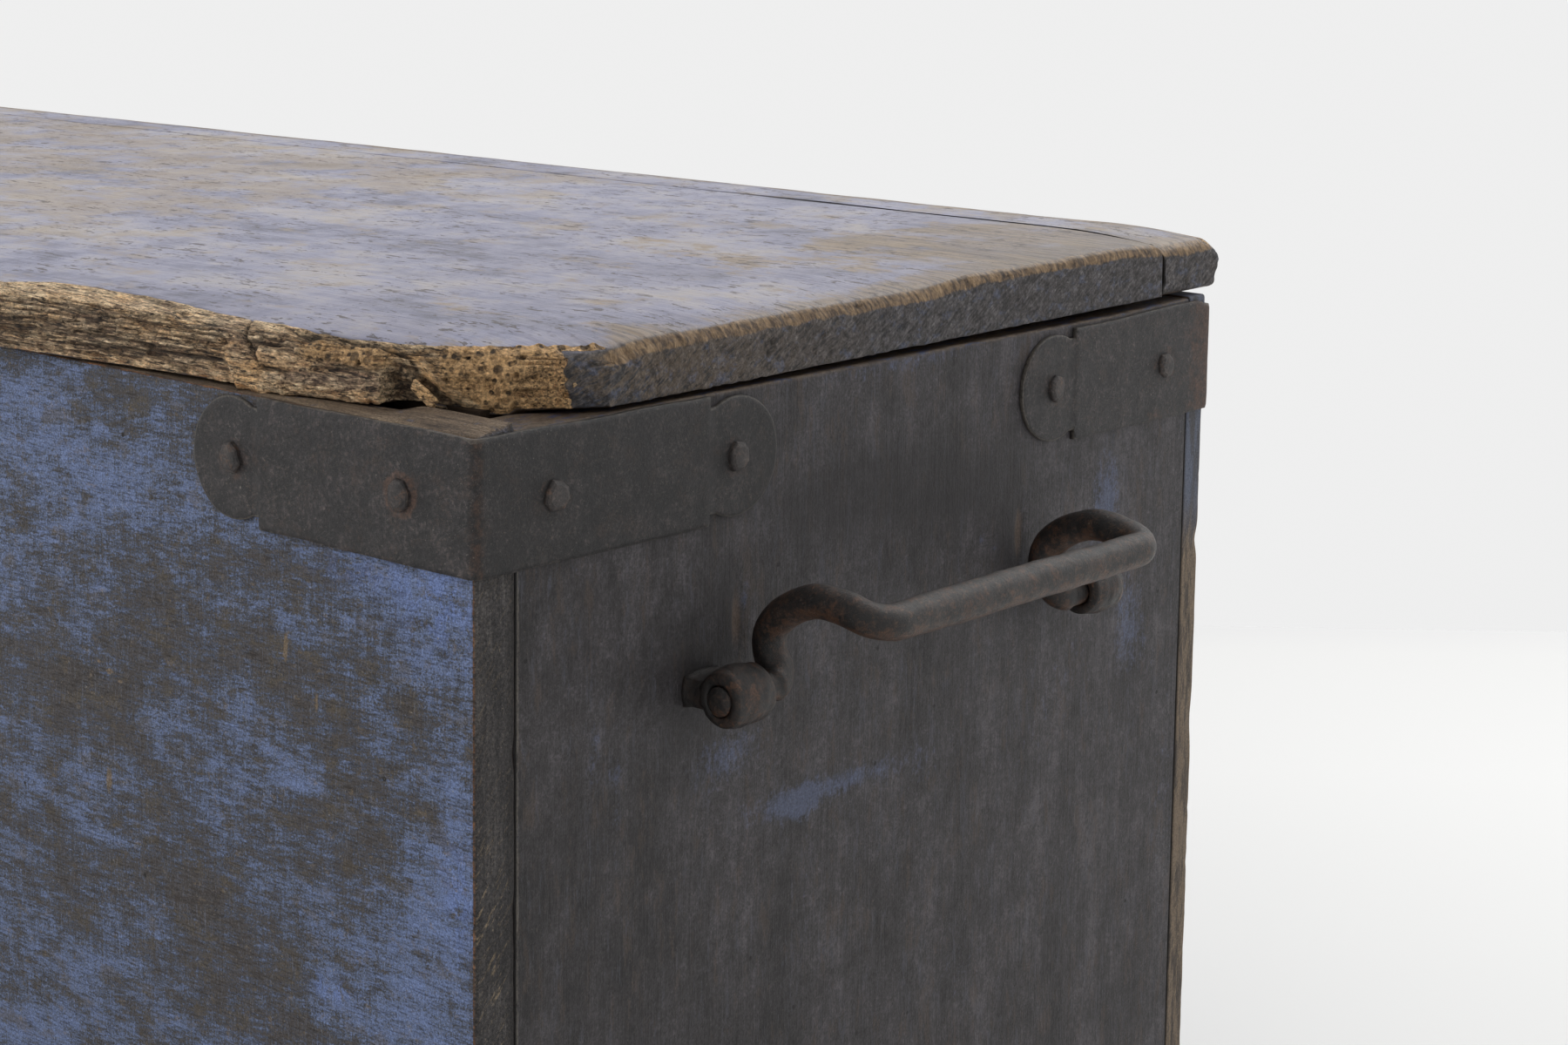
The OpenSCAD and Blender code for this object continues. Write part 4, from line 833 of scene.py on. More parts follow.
def front_board():
    lo = np.array([-HALF_LEN, -HALF_DEPTH, BOTTOM_T])
    hi = np.array([HALF_LEN, -HALF_DEPTH + FRONT_T, TOP])
    p, faces = lattice(spaced(lo[0], (lo[0] + 6, 1.5), (230, 6.0), (hi[0] - 6, 2.6), (hi[0], 1.2)),
                       spaced(lo[1], (lo[1] + 4, 1.0), (hi[1] - 3, 2.6), (hi[1], 1.0)),
                       spaced(lo[2], (lo[2] + 3, 1.5), (hi[2] - 7, 3.0), (hi[2], 1.2)))
    ragged = 1.6 + 0.5 * fbm(p, (9, 9, 14), 5) + 1.6 * step(fbm(p, (26, 26, 22), 6), 0.3, 0.7)
    q = rounded(p, lo, hi, np.clip(ragged, 1.0, 4))
    n = facing(q, faces)
    s = p - MARK
    (x, y, z), (sx, sy, sz) = p.T, s.T
    front = step(-y, -lo[1] - 0.8, -lo[1] - 0.1)
    end = step(np.abs(x), HALF_LEN - 1.6, HALF_LEN - 0.4)
    inner = step(y, hi[1] - 1.0, hi[1] - 0.2)
    upper = step(z, TOP - 1.4, TOP - 0.3)
    h = 0.16 * fbm(p, (60, 20, 9), 11, 4) + 0.25 * fbm(p, (130, 60, 120), 12)
    nicks = pits(p, (46, 46, 46), 21, 0.05, 0.7)
    h -= 0.9 * nicks * front
    worn_top = step(sx, -240, -30) * upper
    h -= 0.5 * upper * (1 + fbm(p, (40, 8, 8), 13)) + 1.5 * worn_top * step(-sy, -8, 1)
    h -= worn_top * (0.5 + 0.8 * fbm(p, (50, 3, 9), 14, 3)) + 1.6 * upper * pits(p, (30, 14, 14), 15, 0.12, 0.8)
    q = q + n * h[:, None]
    inward = np.clip((y + HALF_DEPTH) / FRONT_T, 0, 1)
    q[:, 2] += FRONT_RISE * upper * inward * step(x, HALF_LEN - 64, HALF_LEN - 46)
    arris = 1 - step(np.hypot(HALF_LEN - np.abs(x), y + HALF_DEPTH), 0.6, 2.4)
    low_chips = step(fbm(p, (16, 16, 20), 31), 0.25, 0.6) * (1 - step(HALF_LEN - np.abs(x), 2, 7)) * front
    low_chips *= step(-z, -300, -120)
    top_bare = (1 - step(TOP - z, 0.6, 2.4)) * front * 0.8
    flake = blobs(s, ((-22, 0, -66), (20, 20, 16), 1), ((-12, 0, -175), (8, 20, 22), 1),
                  ((-84.7, 0, -229), (8, 20, 4), 2), ((-60, 0, -60), (30, 20, 6), 0.7))
    chip = blobs(s, ((-226, 0, -176), (2.2, 9, 9), 1), ((-92, 0, -116), (2, 9, 7), 0.7))
    chip += bell(sx, -110 + 0.2 * (sz + 97), 1.6) * np.exp(-((sz + 97) / 9) ** 4)
    chip += 0.9 * bell(sz, -128 - 0.4 * (sx + 226), 1.4) * bell(sx, -224, 14)
    chip = np.where(front > 0.5, chip, 0)
    end_marks = blobs(s, ((0, 9, -180), (60, 9, 30), 1), ((0, 8, -330), (60, 8, 30), 0.9),
                      ((0, 12, -226), (60, 6, 20), 0.6))
    chip = chip + end * end_marks * (sx > -30)
    wear = -patches(sx, sz, FRONT_PATCHES)
    wear += 0.8 * step(sx, -11, -3) * step(fbm(p, (9, 9, 20), 16), -0.5, 0.2) + step(-sz, 14, 2) * 0.5
    joint = end * step(sy, 18.6, 20.2)
    # The nicks are darkened as painted shade in their hollows; the line at the end grain's joint is a real dark
    # joint
    fields = {"raw": np.clip(arris * front + 0.8 * low_chips + top_bare, 0, 1),
              "wear": np.clip(wear, -1.2, 1.2), "flake": np.clip(flake, 0, 1), "chip": chip,
              "ledge": upper * (1 - front * 0.6), "end": end * (1 - upper), "inner": inner * (1 - upper),
              "cav": np.clip(0.9 * nicks * front + 0.7 * joint, 0, 1)}
    return piece("FrontBoard", q, faces, "box", ["front_board"], FRONT, fields)


def end_board(side):
    x0, x1 = sorted((side * (HALF_LEN - END_T), side * HALF_LEN))
    lo = np.array([x0, -HALF_DEPTH + FRONT_T, BOTTOM_T])
    hi = np.array([x1, HALF_DEPTH - BACK_T, TOP - 1])
    gap = 2.4 if side > 0 else 5.0
    p, faces = lattice(spaced(x0, (x0 + 3, 1.5), (x1 - 3, 7), (x1, 1.5)),
                       spaced(lo[1], (lo[1] + 4, 0.7), (hi[1] - 4, gap), (hi[1], 0.7)),
                       spaced(lo[2], (lo[2] + 3, 1.5), (hi[2] - 5, gap), (hi[2], 1.0)))
    q = rounded(p, lo, hi, 0.9)
    n = facing(q, faces)
    s = p - MARK
    (x, y, z), (_, sy, sz) = p.T, s.T
    out = step(side * x, HALF_LEN - 0.9, HALF_LEN - 0.1)
    inner = step(-side * x, -(HALF_LEN - END_T) - 1.0, -(HALF_LEN - END_T) - 0.2)
    upper = step(z, TOP - 2.4, TOP - 1.3)
    dent = sum(blob(s, (0, a, b), (9, 3.2, 14)) for a, b in ((145, -94), (336, -90)))
    h = 0.25 * fbm(p, (60, 60, 200), 41) + 0.10 * fbm(p, (20, 6, 60), 42, 4) - 1.5 * dent * out
    q = q + n * h[:, None]
    back = np.clip((y + HALF_DEPTH) / (2 * HALF_DEPTH), 0, 1)
    lifted = step(z, RISE_FROM, TOP - 2)
    q[:, 2] += lifted * (END_RISE * back + END_BACK_RISE * step(y, 150, HALF_DEPTH))
    inward = np.clip((HALF_LEN - side * x) / END_T, 0, 1)
    q[:, 2] += END_INNER_RISE * lifted * inward * step(-y, HALF_DEPTH - 58, HALF_DEPTH - 34)
    joint = np.minimum(np.abs(y - lo[1]), np.abs(y - hi[1]))
    cav = out * (1 - step(joint, 0.2, 0.9 + 0.6 * fbm(p, (9, 9, 12), 43)))
    if side > 0:
        blue = patches(sy, sz, END_PATCHES)
    else:
        blue = 0.5 * step(fbm(p, (90, 60, 60), 44), 0.1, 0.6)
    # Painted shadow of the handle on the wall beside its eyes and legs, and a darker arc over the bar
    handle_shadow_and_dark_arc = blobs(s, ((0, 226, -50), (60, 50, 10), 0.8), ((0, 300, -60), (60, 44, 13), 0.8),
                  ((0, 326, -88), (60, 12, 28), 0.9), ((0, 122, -112), (60, 20, 20), 1),
                  ((0, 138, -86), (60, 9, 26), 0.7), ((0, 138, -96), (9, 3.5, 15), 0.9),
                  ((0, 328, -92), (9, 4, 16), 0.9))
    arc_over_bar = (185, -66), (224, -55), (262, -54), (298, -66)
    handle_shadow_and_dark_arc += 0.62 * sum(blob(s, (0, a, b), (60, 34, 17)) for a, b in arc_over_bar)
    fields = {"far": step(sy, 60, 330), "blue": blue * out, "handle_shadow_and_dark_arc": np.clip(handle_shadow_and_dark_arc, 0, 1) * out,
              "dent": dent * out, "ledge": upper, "inner": inner * (1 - upper), "cav": cav,
              "edge": out * (1 - step(joint, 1.2, 3.0)) * (0.8 - 0.8 * (y > 0))}
    hand = hand_name(side)
    return piece(f"{hand}EndBoard", q, faces, "box", [f"{hand.lower()}_end_board"], END, fields)


# The rabbets cut for the hinge knuckles in the top of the back board
NOTCH_X, NOTCH_HALF, NOTCH_Y, NOTCH_Z = 390.0, 22.6, 238.1, 438.3


def back_board():
    lo = np.array([-HALF_LEN, HALF_DEPTH - BACK_T, BOTTOM_T])
    hi = np.array([HALF_LEN, HALF_DEPTH, TOP])
    edges = [a * NOTCH_X + b * NOTCH_HALF for a in (-1, 1) for b in (-1, 1)]
    at_edges = [stop for edge in edges for stop in ((edge - 0.05, 8), (edge + 0.05, 1))]
    xs = spaced(lo[0], (lo[0] + 6, 1.5), *at_edges, (hi[0] - 12, 6), (hi[0], 1.2))
    zs = spaced(lo[2], (lo[2] + 3, 1.5), (NOTCH_Z - 0.05, 2.4), (NOTCH_Z + 0.05, 1), (hi[2], 1.6))
    p, faces = lattice(xs, spaced(lo[1], (lo[1] + 3, 1.0), (hi[1] - 4, 1.6), (hi[1], 1.0)), zs)
    ragged = 1.5 + 0.5 * fbm(p, (12, 12, 16), 51) + 1.4 * step(fbm(p, (30, 30, 24), 52), 0.4, 0.7)
    q = rounded(p, lo, hi, np.clip(ragged, 0.8, 3.2))
    n = facing(q, faces)
    s = p - MARK
    x, y, z = p.T
    end = step(np.abs(x), HALF_LEN - 1.6, HALF_LEN - 0.4)
    inner = step(-y, -lo[1] - 1.0, -lo[1] - 0.2)
    h = 0.2 * fbm(p, (70, 20, 8), 53, 4)
    h -= blobs(s, ((0, 486, -118), (6, 6, 5), 1.3), ((0, 486, -210), (6, 5, 12), 0.8))
    q = q + n * h[:, None]
    q[:, 2] += BACK_RISE * step(z, RISE_FROM, TOP - 2) * step(np.abs(x), 470, 560)
    in_notch = (np.abs(np.abs(x) - NOTCH_X) < NOTCH_HALF) & (z > NOTCH_Z)
    q[in_notch, 1] = np.minimum(q[in_notch, 1], NOTCH_Y)
    arris = 1 - step(np.hypot(HALF_LEN - np.abs(x), HALF_DEPTH - y), 0.8, 3.0)
    fields = {"raw": arris * (0.55 + 0.45 * step(-s[:, 2], 100, 130)), "end": end, "inner": inner,
              "chip": end * step(-s[:, 2], 90, 125), "cav": end * (1 - step(y - lo[1], 0.5, 1.4))}
    return piece("BackBoard", q, faces, "box", ["back_board"], BACK, fields)


# Lid

def lid_to_part(q):
    c, s = math.cos(LID_TILT), math.sin(LID_TILT)
    return np.stack([q[:, 0], -HALF_DEPTH + q[:, 1] * c - q[:, 2] * s,
                     TOP + LID_SEAT + q[:, 1] * s + q[:, 2] * c], 1)


def worn_line(x):
    """How far behind the face of the front board the lid starts, along its length."""
    right = np.interp(LID_HALF - x, *zip(*RIGHT_WEAR))
    left = np.interp(LID_HALF + x, *zip(*LEFT_WEAR))
    return np.where(x > 0, right, left)


def turn_corner(a, b, a_edge, b_edge, r):
    """Rounds a corner at (a_edge, b_edge): a grows inwards from its edge, b grows towards its edge."""
    da = np.minimum(a - (a_edge + r), 0)
    db = np.maximum(b - (b_edge - r), 0)
    both = (da < 0) & (db > 0)
    m = np.maximum(-da, db)
    length = np.maximum(np.hypot(da, db), 1e-9)
    k = np.where(both, m / length, 1.0)
    return np.where(both, a_edge + r + da * k, a), np.where(both, b_edge - r + db * k, b)


def seam_line(x):
    """Where the joint between the plank and the rear strip runs: it swings forward at the ends."""
    return STRIP_Y + 6.0 * step(LID_HALF - np.abs(x), 6, 75)


def worn_top(from_end, behind, back_zone):
    """How far the top of the lid is worn down near an end and near the front edge."""
    end = END_DROP * np.clip(1 - from_end / END_WEAR, 0, 1) ** 2 * (1 - 0.8 * back_zone)
    return end + FRONT_DROP * np.clip(1 - behind / 48.0, 0, 1) ** 2


def between(v, lo, hi, soft=1.0):
    """1 between lo and hi, with soft ends."""
    return step(v - lo, -soft, soft) * step(hi - v, -soft, soft)


def edge_forms(base, behind):
    """Relief and tones of the broken front edge: long fibres, worm-eaten plates and a hollow at the right."""
    x, z = base[:, 0] - LID_MARK[0], base[:, 2]
    around = z + 0.8 * behind

    # The scoop below the corner: its slope is a smooth facet, its foot a hollow darkened with painted shade
    foot = np.interp(x, [-73, -63, -45, -36], [13, 10.5, 0.5, -6])
    head = np.interp(x, [-73, -60, -36], [21, 18.5, 3])
    t = np.clip((z - foot) / (head - foot), 0, 1)
    in_scoop = step(x, -73.4, -72.4) * step(-x, 33, 37)
    inward = in_scoop * np.interp(x, [-72, -56, -40], [5.5, 7.5, 5.5]) * (1 - t) * (1 - step(behind, 9, 19))
    facet = in_scoop * between(t, 0.06, 0.95, 0.1) * step(x, -64, -59)
    hollow = in_scoop * (1 - step(t, 0.0, 0.12))
    clump = in_scoop * (1 - step(x, -65, -60)) * between(z, 5, 17, 1.5)

    bulge_top = np.interp(x, [-119, -74], [8.0, 11.5])
    bulge = between(x, -119, -73.6, 0.8) * (1 - step(z, bulge_top - 1.2, bulge_top + 0.8))
    rusty_z = 14 - 0.12 * (x + 134)
    rusty = between(x, -134, -106, 2) * between(z, rusty_z - 3.4, rusty_z + 3.4, 0.8)
    crack_x = -146.6 + (23.7 - z) * 1.1
    crack = bell(x, crack_x, 0.9) * between(z, 10, 24.5)
    left_clump = np.exp(-(((x - crack_x + 7) / 9) ** 2 + ((z - 15) / 7) ** 2) ** 2)
    groove_z = np.interp(x, [-128, -108, -78, -64], [22.0, 22.4, 21.4, 17.8])
    groove = bell(z, groove_z, 0.8) * between(x, -122, -63, 3) * step(fbm(base, (16, 9, 9), 60), -0.5, -0.1)
    lump_b = 1 - np.clip(np.maximum(np.abs(x + 138 + 0.6 * (z - 5)) / 10.5, np.abs(z - 5.0) / 7.0), 0, 1) ** 3
    lump_c = 1 - np.clip(np.maximum(np.abs(x + 123.5) / 6.5, np.abs(z - 3.0) / 5.0), 0, 1) ** 3
    knot = bell(x, -111.5, 3.2) * bell(z, 22.0, 2.0)

    gold_band = between(x, -113, -71, 4) * between(z, 12.8 - 0.03 * (x + 71), 21.5, 1.6)
    corner = step(x, -60, -46) * (1 - facet) * step(t, 0.8, 1.0)
    corner = np.where(x > -36, step(x, -60, -46), corner)
    spongy = np.clip(0.9 * gold_band + corner + clump + left_clump, 0, 1) * (1 - bulge)
    spongy = spongy * np.clip(0.75 + 0.6 * fbm(base, (14, 9, 9), 65), 0, 1) * (1 - facet)
    smooth_part = np.clip(bulge + rusty + 0.9 * facet + 0.8 * (lump_b > 0.2) + 0.8 * (lump_c > 0.2), 0, 1)

    bent = around + 1.6 * fbm(base, (36, 12, 12), 71) + 0.5 * fbm(base, (8, 5, 5), 72)
    tall, rim = plates(x + 4 * fbm(base, (9, 4, 4), 73), bent, 17, 2.7, 74)
    small, small_rim = plates(x + 3 * fbm(base, (7, 3, 3), 75), bent + 0.9, 7, 1.5, 76)
    flow = fbm(base, (80, 16, 3.6), 77, 4, 0.62)
    split = step(1 - np.abs(fbm(base, (90, 18, 3.4), 78, 2)), 0.88, 1.0)
    lump = fbm(base, (5.0, 5.0, 4.6), 79, 3, 0.62)
    hole = step(pits(base, (6.0, 6.0, 6.0), 80, 0.42, 0.6), 0.08, 0.30)
    wide_hole = pits(base, (9, 9, 8), 81, 0.30, 0.6)
    hole_few = pits(base, (17, 17, 17), 82, 0.10, 0.9)
    upper = step(around, 22, 28)
    lower = 1 - step(around, 3.5, 6.5)

    broken = (1 - spongy) * (1 - 0.85 * smooth_part) * (1 - 0.75 * upper) * (1 - 0.6 * lower)
    rim_dark = 1 - step(rim, 0.35, 0.95)
    h = broken * (2.4 * tall * step(rim, 0.0, 0.6) + 1.2 * small * step(small_rim, 0, 0.35) - 0.4 * rim_dark)
    h += (1 - spongy) * (1 - 0.7 * smooth_part) * (0.8 * flow - 1.3 * split)
    h += spongy * (2.2 * lump - 2.8 * hole - 1.6 * wide_hole)
    h += 0.3 * lump * (1 - spongy) * (1 - facet) - 1.5 * hole_few
    h += 1.2 * fbm(base, (70, 40, 20), 83, 2) + 0.25 * smooth_part * fbm(base, (30, 9, 1.8), 84, 3)
    h += 1.7 * bulge + 0.7 * rusty + 2.4 * lump_c * (1 + 0.5 * lump)
    h += lump_b * (3.6 + 1.6 * fbm(base, (8, 8, 7), 66, 2))
    h += clump * (1.5 + 1.5 * lump) - 2.2 * crack - 2.0 * groove - 2.2 * knot
    h += 0.8 * step(x - crack_x, 0, 2) * (1 - step(x, -120, -100))
    # Darkening of the broken edge: painted shade under the plates' rims and in the splits, holes, crack,
    # groove, knot and hollow
    cav = broken * (0.62 * rim_dark + 0.30 * (1 - step(small_rim, 0.15, 0.5)))
    cav += 0.6 * split * (1 - smooth_part) * (1 - spongy)
    cav += spongy * (0.95 * hole * step(z, 4, 11) + 0.7 * wide_hole) + 0.8 * hole_few
    cav += 0.8 * crack + 0.7 * groove + 0.8 * knot + 0.45 * hollow + 0.3 * clump * (lump < 0)
    step_face = bell(x, -73.4, 1.1) * (z < 16)
    tone = broken * (0.9 * tall + 0.4 * small) + 0.75 * step_face + 0.30 * facet + 0.30 * lump_b + 0.2 * lump_c
    tone += 0.45 * lump * spongy - 0.25 * bulge * (z > 4) - 0.2 * left_clump + 0.25 * upper + 0.2 * lower
    gold = corner + 0.8 * gold_band + 0.5 * facet + 0.5 * lump_b + 0.45 * rusty - 0.4 * hollow
    dusk = bulge * step(z, 3, 6) + 0.5 * rusty + 0.3 * left_clump
    return {"h": h, "inward": inward, "cav": cav, "tone": tone, "gold": np.clip(gold, 0, 1),
            "dusk": np.clip(dusk, 0, 1), "spongy": spongy, "facet": facet}


def lid_plank():
    width = STRIP_Y + 8.0
    xs = spaced(-LID_HALF, (-LID_HALF + 8, 1.4), (-LID_HALF + 60, 3.0), (250, 6.0), (286, 2.4),
                (LID_HALF - 70, 0.85), (LID_HALF - 12, 0.55), (LID_HALF, 0.35))
    ys = spaced(0, (28, 0.7), (60, 1.3), (150, 2.6), (width - 6, 4.5), (width, 1.0))
    p, faces = lattice(xs, ys, spaced(0, (LID_T, 0.7)))
    x, y, z = p[:, 0].copy(), p[:, 1].copy(), p[:, 2].copy()
    back_zone = step(y, 235, 290) * (1 - step(y, 425, 470))
    from_end, z = turn_corner(LID_HALF - np.abs(x), z, 0.0, LID_T, 7.0 - 2.6 * back_zone)
    x = np.sign(x) * (LID_HALF - from_end)
    y, z = turn_corner(y, z, 0.0, LID_T, 11.0)
    y, low = turn_corner(y, LID_T - z, 0.0, LID_T, 2.0)
    z = LID_T - low
    back, z = turn_corner(width - y, z, 0.4, LID_T, 1.2)
    start = worn_line(p[:, 0])
    y = start + (width - back)
    y = y + (seam_line(p[:, 0]) - start - width) * step((width - back), 40, width - 30)
    behind = y - start
    z = z - z / LID_T * worn_top(from_end, behind, back_zone)
    base = np.stack([x, y, z], 1)
    n = facing(base, faces)

    s = base - LID_MARK
    sx, sy, _ = s.T
    under_top = s[:, 2] - 25.5
    line = np.interp(sx - 5.4 * under_top, *zip(*RAW_LINE)) + 2.5
    line = line + 2.2 * fbm(base, (22, 6, 6), 61) + 1.2 * fbm(base, (60, 6, 6), 62)
    raw = 1 - step(sy + 4.0 * under_top - line, -2.0, 1.5)
    under = (z < 0.6) & (n[:, 2] < -0.7)
    end = step(np.abs(n[:, 0]), 0.5, 0.85)
    right_end = end * (x > 0)
    ragged = 3.5 * fbm(base, (5, 5, 5), 64, 3)
    raw = raw * (1 - step(np.abs(n[:, 0]), 0.3, 0.6) * (x > 0) * step(sy + ragged, 57, 62))
    raw = raw * (1 - (x < 0) * end * 0.6)
    top_z = LID_T - worn_top(LID_HALF - np.abs(x), behind, back_zone)
    from_arris = np.hypot(LID_HALF - np.abs(x), top_z - z)
    arris = 1 - step(from_arris, 1.6, 7.5 + 2.5 * fbm(base, (14, 9, 14), 63))
    front_face = step(-n[:, 1], 0.15, 0.5)
    edge_zone = raw * (1 - arris * (behind > 24))

    near = np.flatnonzero(behind < 62)
    forms = edge_forms(base[near], behind[near])

    def spread(key):
        out = np.zeros(len(base))
        out[near] = forms[key]
        return out

    h = spread("h") * edge_zone * (1 - 0.9 * step(behind, 16, 30))
    top_relief = 0.22 * fbm(base, (80, 5, 30), 85, 3) + 0.5 * fbm(base, (260, 90, 60), 86)
    comb = step(fbm(base, (30, 2.6, 8), 87, 2), 0.1, 0.7) * step(x, LID_HALF - 60, LID_HALF - 6)
    h += (1 - edge_zone) * (1 - end) * (top_relief - 0.4 * comb)
    across = (base[:, 1] * 0.84 + base[:, 2] * 0.54) / 2.2
    down = (base[:, 2] * 0.84 - base[:, 1] * 0.54) / 14
    slant = value_noise(np.stack([across, down, base[:, 0] / 20], 1), 88)
    hole_few = pits(base, (17, 17, 17), 82, 0.10, 0.9)
    h += end * (0.4 * slant + 0.45 * fbm(base, (3, 3, 3), 89, 3) - 1.1 * hole_few)
    deep_pit = end * (x > 0) * pits(base, (7, 7, 6), 90, 0.22, 0.35 + 0.45 * (sy > 300))
    h -= 1.0 * deep_pit
    ribs = fbm(base, (14, 4.5, 14), 91, 3)
    h -= arris * (1 - edge_zone * 0.4) * (0.7 + 0.7 * fbm(base, (12, 7, 12), 92, 3) - 0.6 * ribs)
    crack = bell(sy, 165.5 + 0.5 * (z - 12), 0.8) * step(z, 6, 9) * (1 - step(z, 14, 16)) * right_end
    h -= 1.2 * crack
    h *= 1 - 0.97 * under
    h *= 1 - step(width - back, width - 3.0, width - 0.2)
    q = base + n * h[:, None]
    q[:, 1] += spread("inward") * (x > 0)
    q[:, 2] += under * 2.0 * step(-behind, -15, -3) * between(sx, -70, -40, 4)
    over_inside = step(y, FRONT_T + 1.0, FRONT_T + 4.0) * step(LID_HALF - x, END_T + 1.0, END_T + 4.0)
    sag = over_inside * between(sx, -60, 10, 4) * (1 - step(z, 0.5, 14)) * (1 - step(behind, 12, 24))
    q[:, 2] -= 2.2 * sag * (x > 0)

    # Darkening of the top gap, the end's crack and deep pits, with the broken edge's own: painted shade in
    # these recesses
    top_gap = bell(sx, -262, 9) * bell(sy, 13 - 0.25 * (sx + 262), 1.2) * raw
    cav = np.clip(edge_zone * spread("cav") + crack + 0.9 * top_gap + 0.8 * deep_pit, 0, 1)
    rise = np.clip((z + 0.8 * behind) / 34, 0, 1)
    tan_lines = (0.9 * bell(sy, 222 - 0.12 * (sx + 605).clip(0), 3) * (sx < -290)
                 + 0.8 * bell(sy, 287, 4) * (sx < -144))
    fields = {"raw": raw * (1 - under), "cav": cav * (1 - under),
              "end": step(np.abs(n[:, 0]), 0.3, 0.65) * (1 - under), "inner": 1.0 * under,
              "spongy": spread("spongy") * raw * (1 - right_end), "rise": rise,
              "tone": np.clip(spread("tone"), -1, 1), "gold": spread("gold") * (x > 0) * raw,
              "dusk": spread("dusk") * (x > 0), "facet": spread("facet") * front_face * (x > 0),
              "lip": front_face * (1 - step(z, 1.2, 3.5)) * (sx < -75),
              "olive": right_end * np.clip(1.1 - (sy - 60) / 190, 0.15, 1), "brim": arris * (1 - under),
              "wear": (0.42 * step(x, LID_HALF - 360, LID_HALF - 100)
                       + 0.5 * step(x, LID_HALF - 30, LID_HALF - 4)
                       + 0.8 * step(x, LID_HALF - 170, LID_HALF - 20) * step(sy + 0.25 * sx, 250, 400)),
              "tan": step(-sx, 300, 500) + tan_lines
              + blobs(s, ((-60, 330, 26), (120, 60, 30), 0.8), ((-20, 90, 24), (40, 30, 30), 0.4))}
    return piece("LidPlank", lid_to_part(q), faces, "lid", ["lid_plank"], LID, fields)


def lid_fields(points, **given):
    """The fields of the lid's material for a small piece; those that aren't given are 0."""
    names = ("raw", "cav", "end", "spongy", "inner", "rise", "tone", "gold", "lip", "dusk", "facet", "olive",
             "brim", "wear", "tan")
    return {name: np.zeros(len(points)) + given.get(name, 0.0) for name in names}


def lid_strip():
    width = LID_BACK_Y - STRIP_Y
    xs = spaced(-LID_HALF, (-LID_HALF + 12, 1.4), (300, 6.0), (LID_HALF - 16, 2.4), (LID_HALF, 0.9))
    p, faces = lattice(xs, spaced(0, (3, 0.5), (width, 1.6)), spaced(0, (LID_T, 1.0)))
    x, y, z = p.T.copy()
    back, z = turn_corner(width - y, z, 0.0, LID_T, NOSE_R)
    local_top = LID_T - NOSE_R + np.sqrt(NOSE_R ** 2 - (NOSE_R - back.clip(0, NOSE_R)) ** 2)
    from_end, z = turn_corner(LID_HALF - np.abs(x), z, 0.0, local_top, 8.5)
    y = width - back
    y, z = turn_corner(y, z, 0.5, LID_T, 1.6)
    back, low = turn_corner(width - y, LID_T - z, 0.0, LID_T, 6.0)
    from_end, low = turn_corner(from_end, low, 0.0, LID_T, 3.5)
    y, z = width - back, LID_T - low
    from_end, y = turn_corner(from_end, y, 0.0, width, 5.0)
    x = np.sign(x) * (LID_HALF - from_end)
    z = z - z / LID_T * worn_top(from_end, np.full(len(z), 99.0), 0.0)
    longer = 4.5 * step(LID_HALF - np.abs(x), 120, 20) * step(z, 3, 15)
    y = y + (seam_line(x) - STRIP_Y) * (1 - y / width) + longer * y / width
    base = np.stack([x, y + STRIP_Y, z], 1)
    from_seam = base[:, 1] - seam_line(x)
    n = facing(base, faces)
    end = step(np.abs(n[:, 0]), 0.5, 0.85)
    under = (z < 0.6) & (n[:, 2] < -0.7)
    top_z = LID_T - worn_top(LID_HALF - np.abs(x), np.full(len(z), 99.0), 0.0)
    arris = 1 - step(np.hypot(LID_HALF - np.abs(x), top_z - z), 1.8, 8.5 + 2.0 * fbm(base, (14, 12, 14), 93))
    nose = step(y, width - 17, width - 6) * (1 - end)
    h = 0.35 * fbm(base, (90, 7, 9), 94, 4) - arris * (0.5 + 0.8 * fbm(base, (12, 7, 12), 95, 3))
    h += end * 0.45 * fbm(base, (3, 3, 3), 96, 3) + nose * 0.7 * fbm(base, (60, 8, 5), 97, 4)
    h *= 1 - 0.97 * under
    q = base + n * h[:, None]
    seam = 1 - step(from_seam, 0.9, 2.6)
    q[:, 1] += (0.2 + 2.2 * step(x, 240, 430)) * seam * step(z, 3, 6)
    bare = 0.8 * nose * step(fbm(base, (50, 14, 14), 98), -0.2, 0.4)
    shown = 1 - under
    wear = np.maximum(step(x, LID_HALF - 150, LID_HALF - 10) * 0.9, 1.3 * step(y, width - 24, width - 8))
    fields = lid_fields(q, raw=bare * shown, cav=seam * shown * (0.1 + 0.9 * step(x, 180, 420)),
                        end=end * shown, spongy=0.1 * bare, inner=under, rise=0.7, tone=np.clip(h, -1, 1) * 0.3,
                        gold=0.2, dusk=0.7 * bare, olive=0.25 * end, brim=np.maximum(arris, 0.6 * nose) * shown,
                        wear=wear, tan=0.35)
    return piece("LidRearStrip", lid_to_part(q), faces, "lid", ["lid_rear_strip"], LID, fields)


# Corner straps

STRAP_W, STRAP_T, LOBE_R, NECK, SHOULDER = 52.0, 2.5, 24.5, 16.0, 4.5
FRONT_REACH, END_REACH, REAR_REACH, FIRST_NAIL = 136.5, 139.0, 128.5, 38.0
STRAP_BEND = 2.0
STRAP_LOW = {"Top": 397.0, "Bottom": 4.0}


def strap_half(d, reach):
    """Half the width of a strap at distance d from the corner."""
    lobe = np.sqrt(np.clip(LOBE_R ** 2 - (d - reach) ** 2, 0, None))
    neck = np.where(d < reach, STRAP_W / 2 - SHOULDER, 0.0)
    return np.where(d < reach - NECK, STRAP_W / 2, np.maximum(lobe, neck))


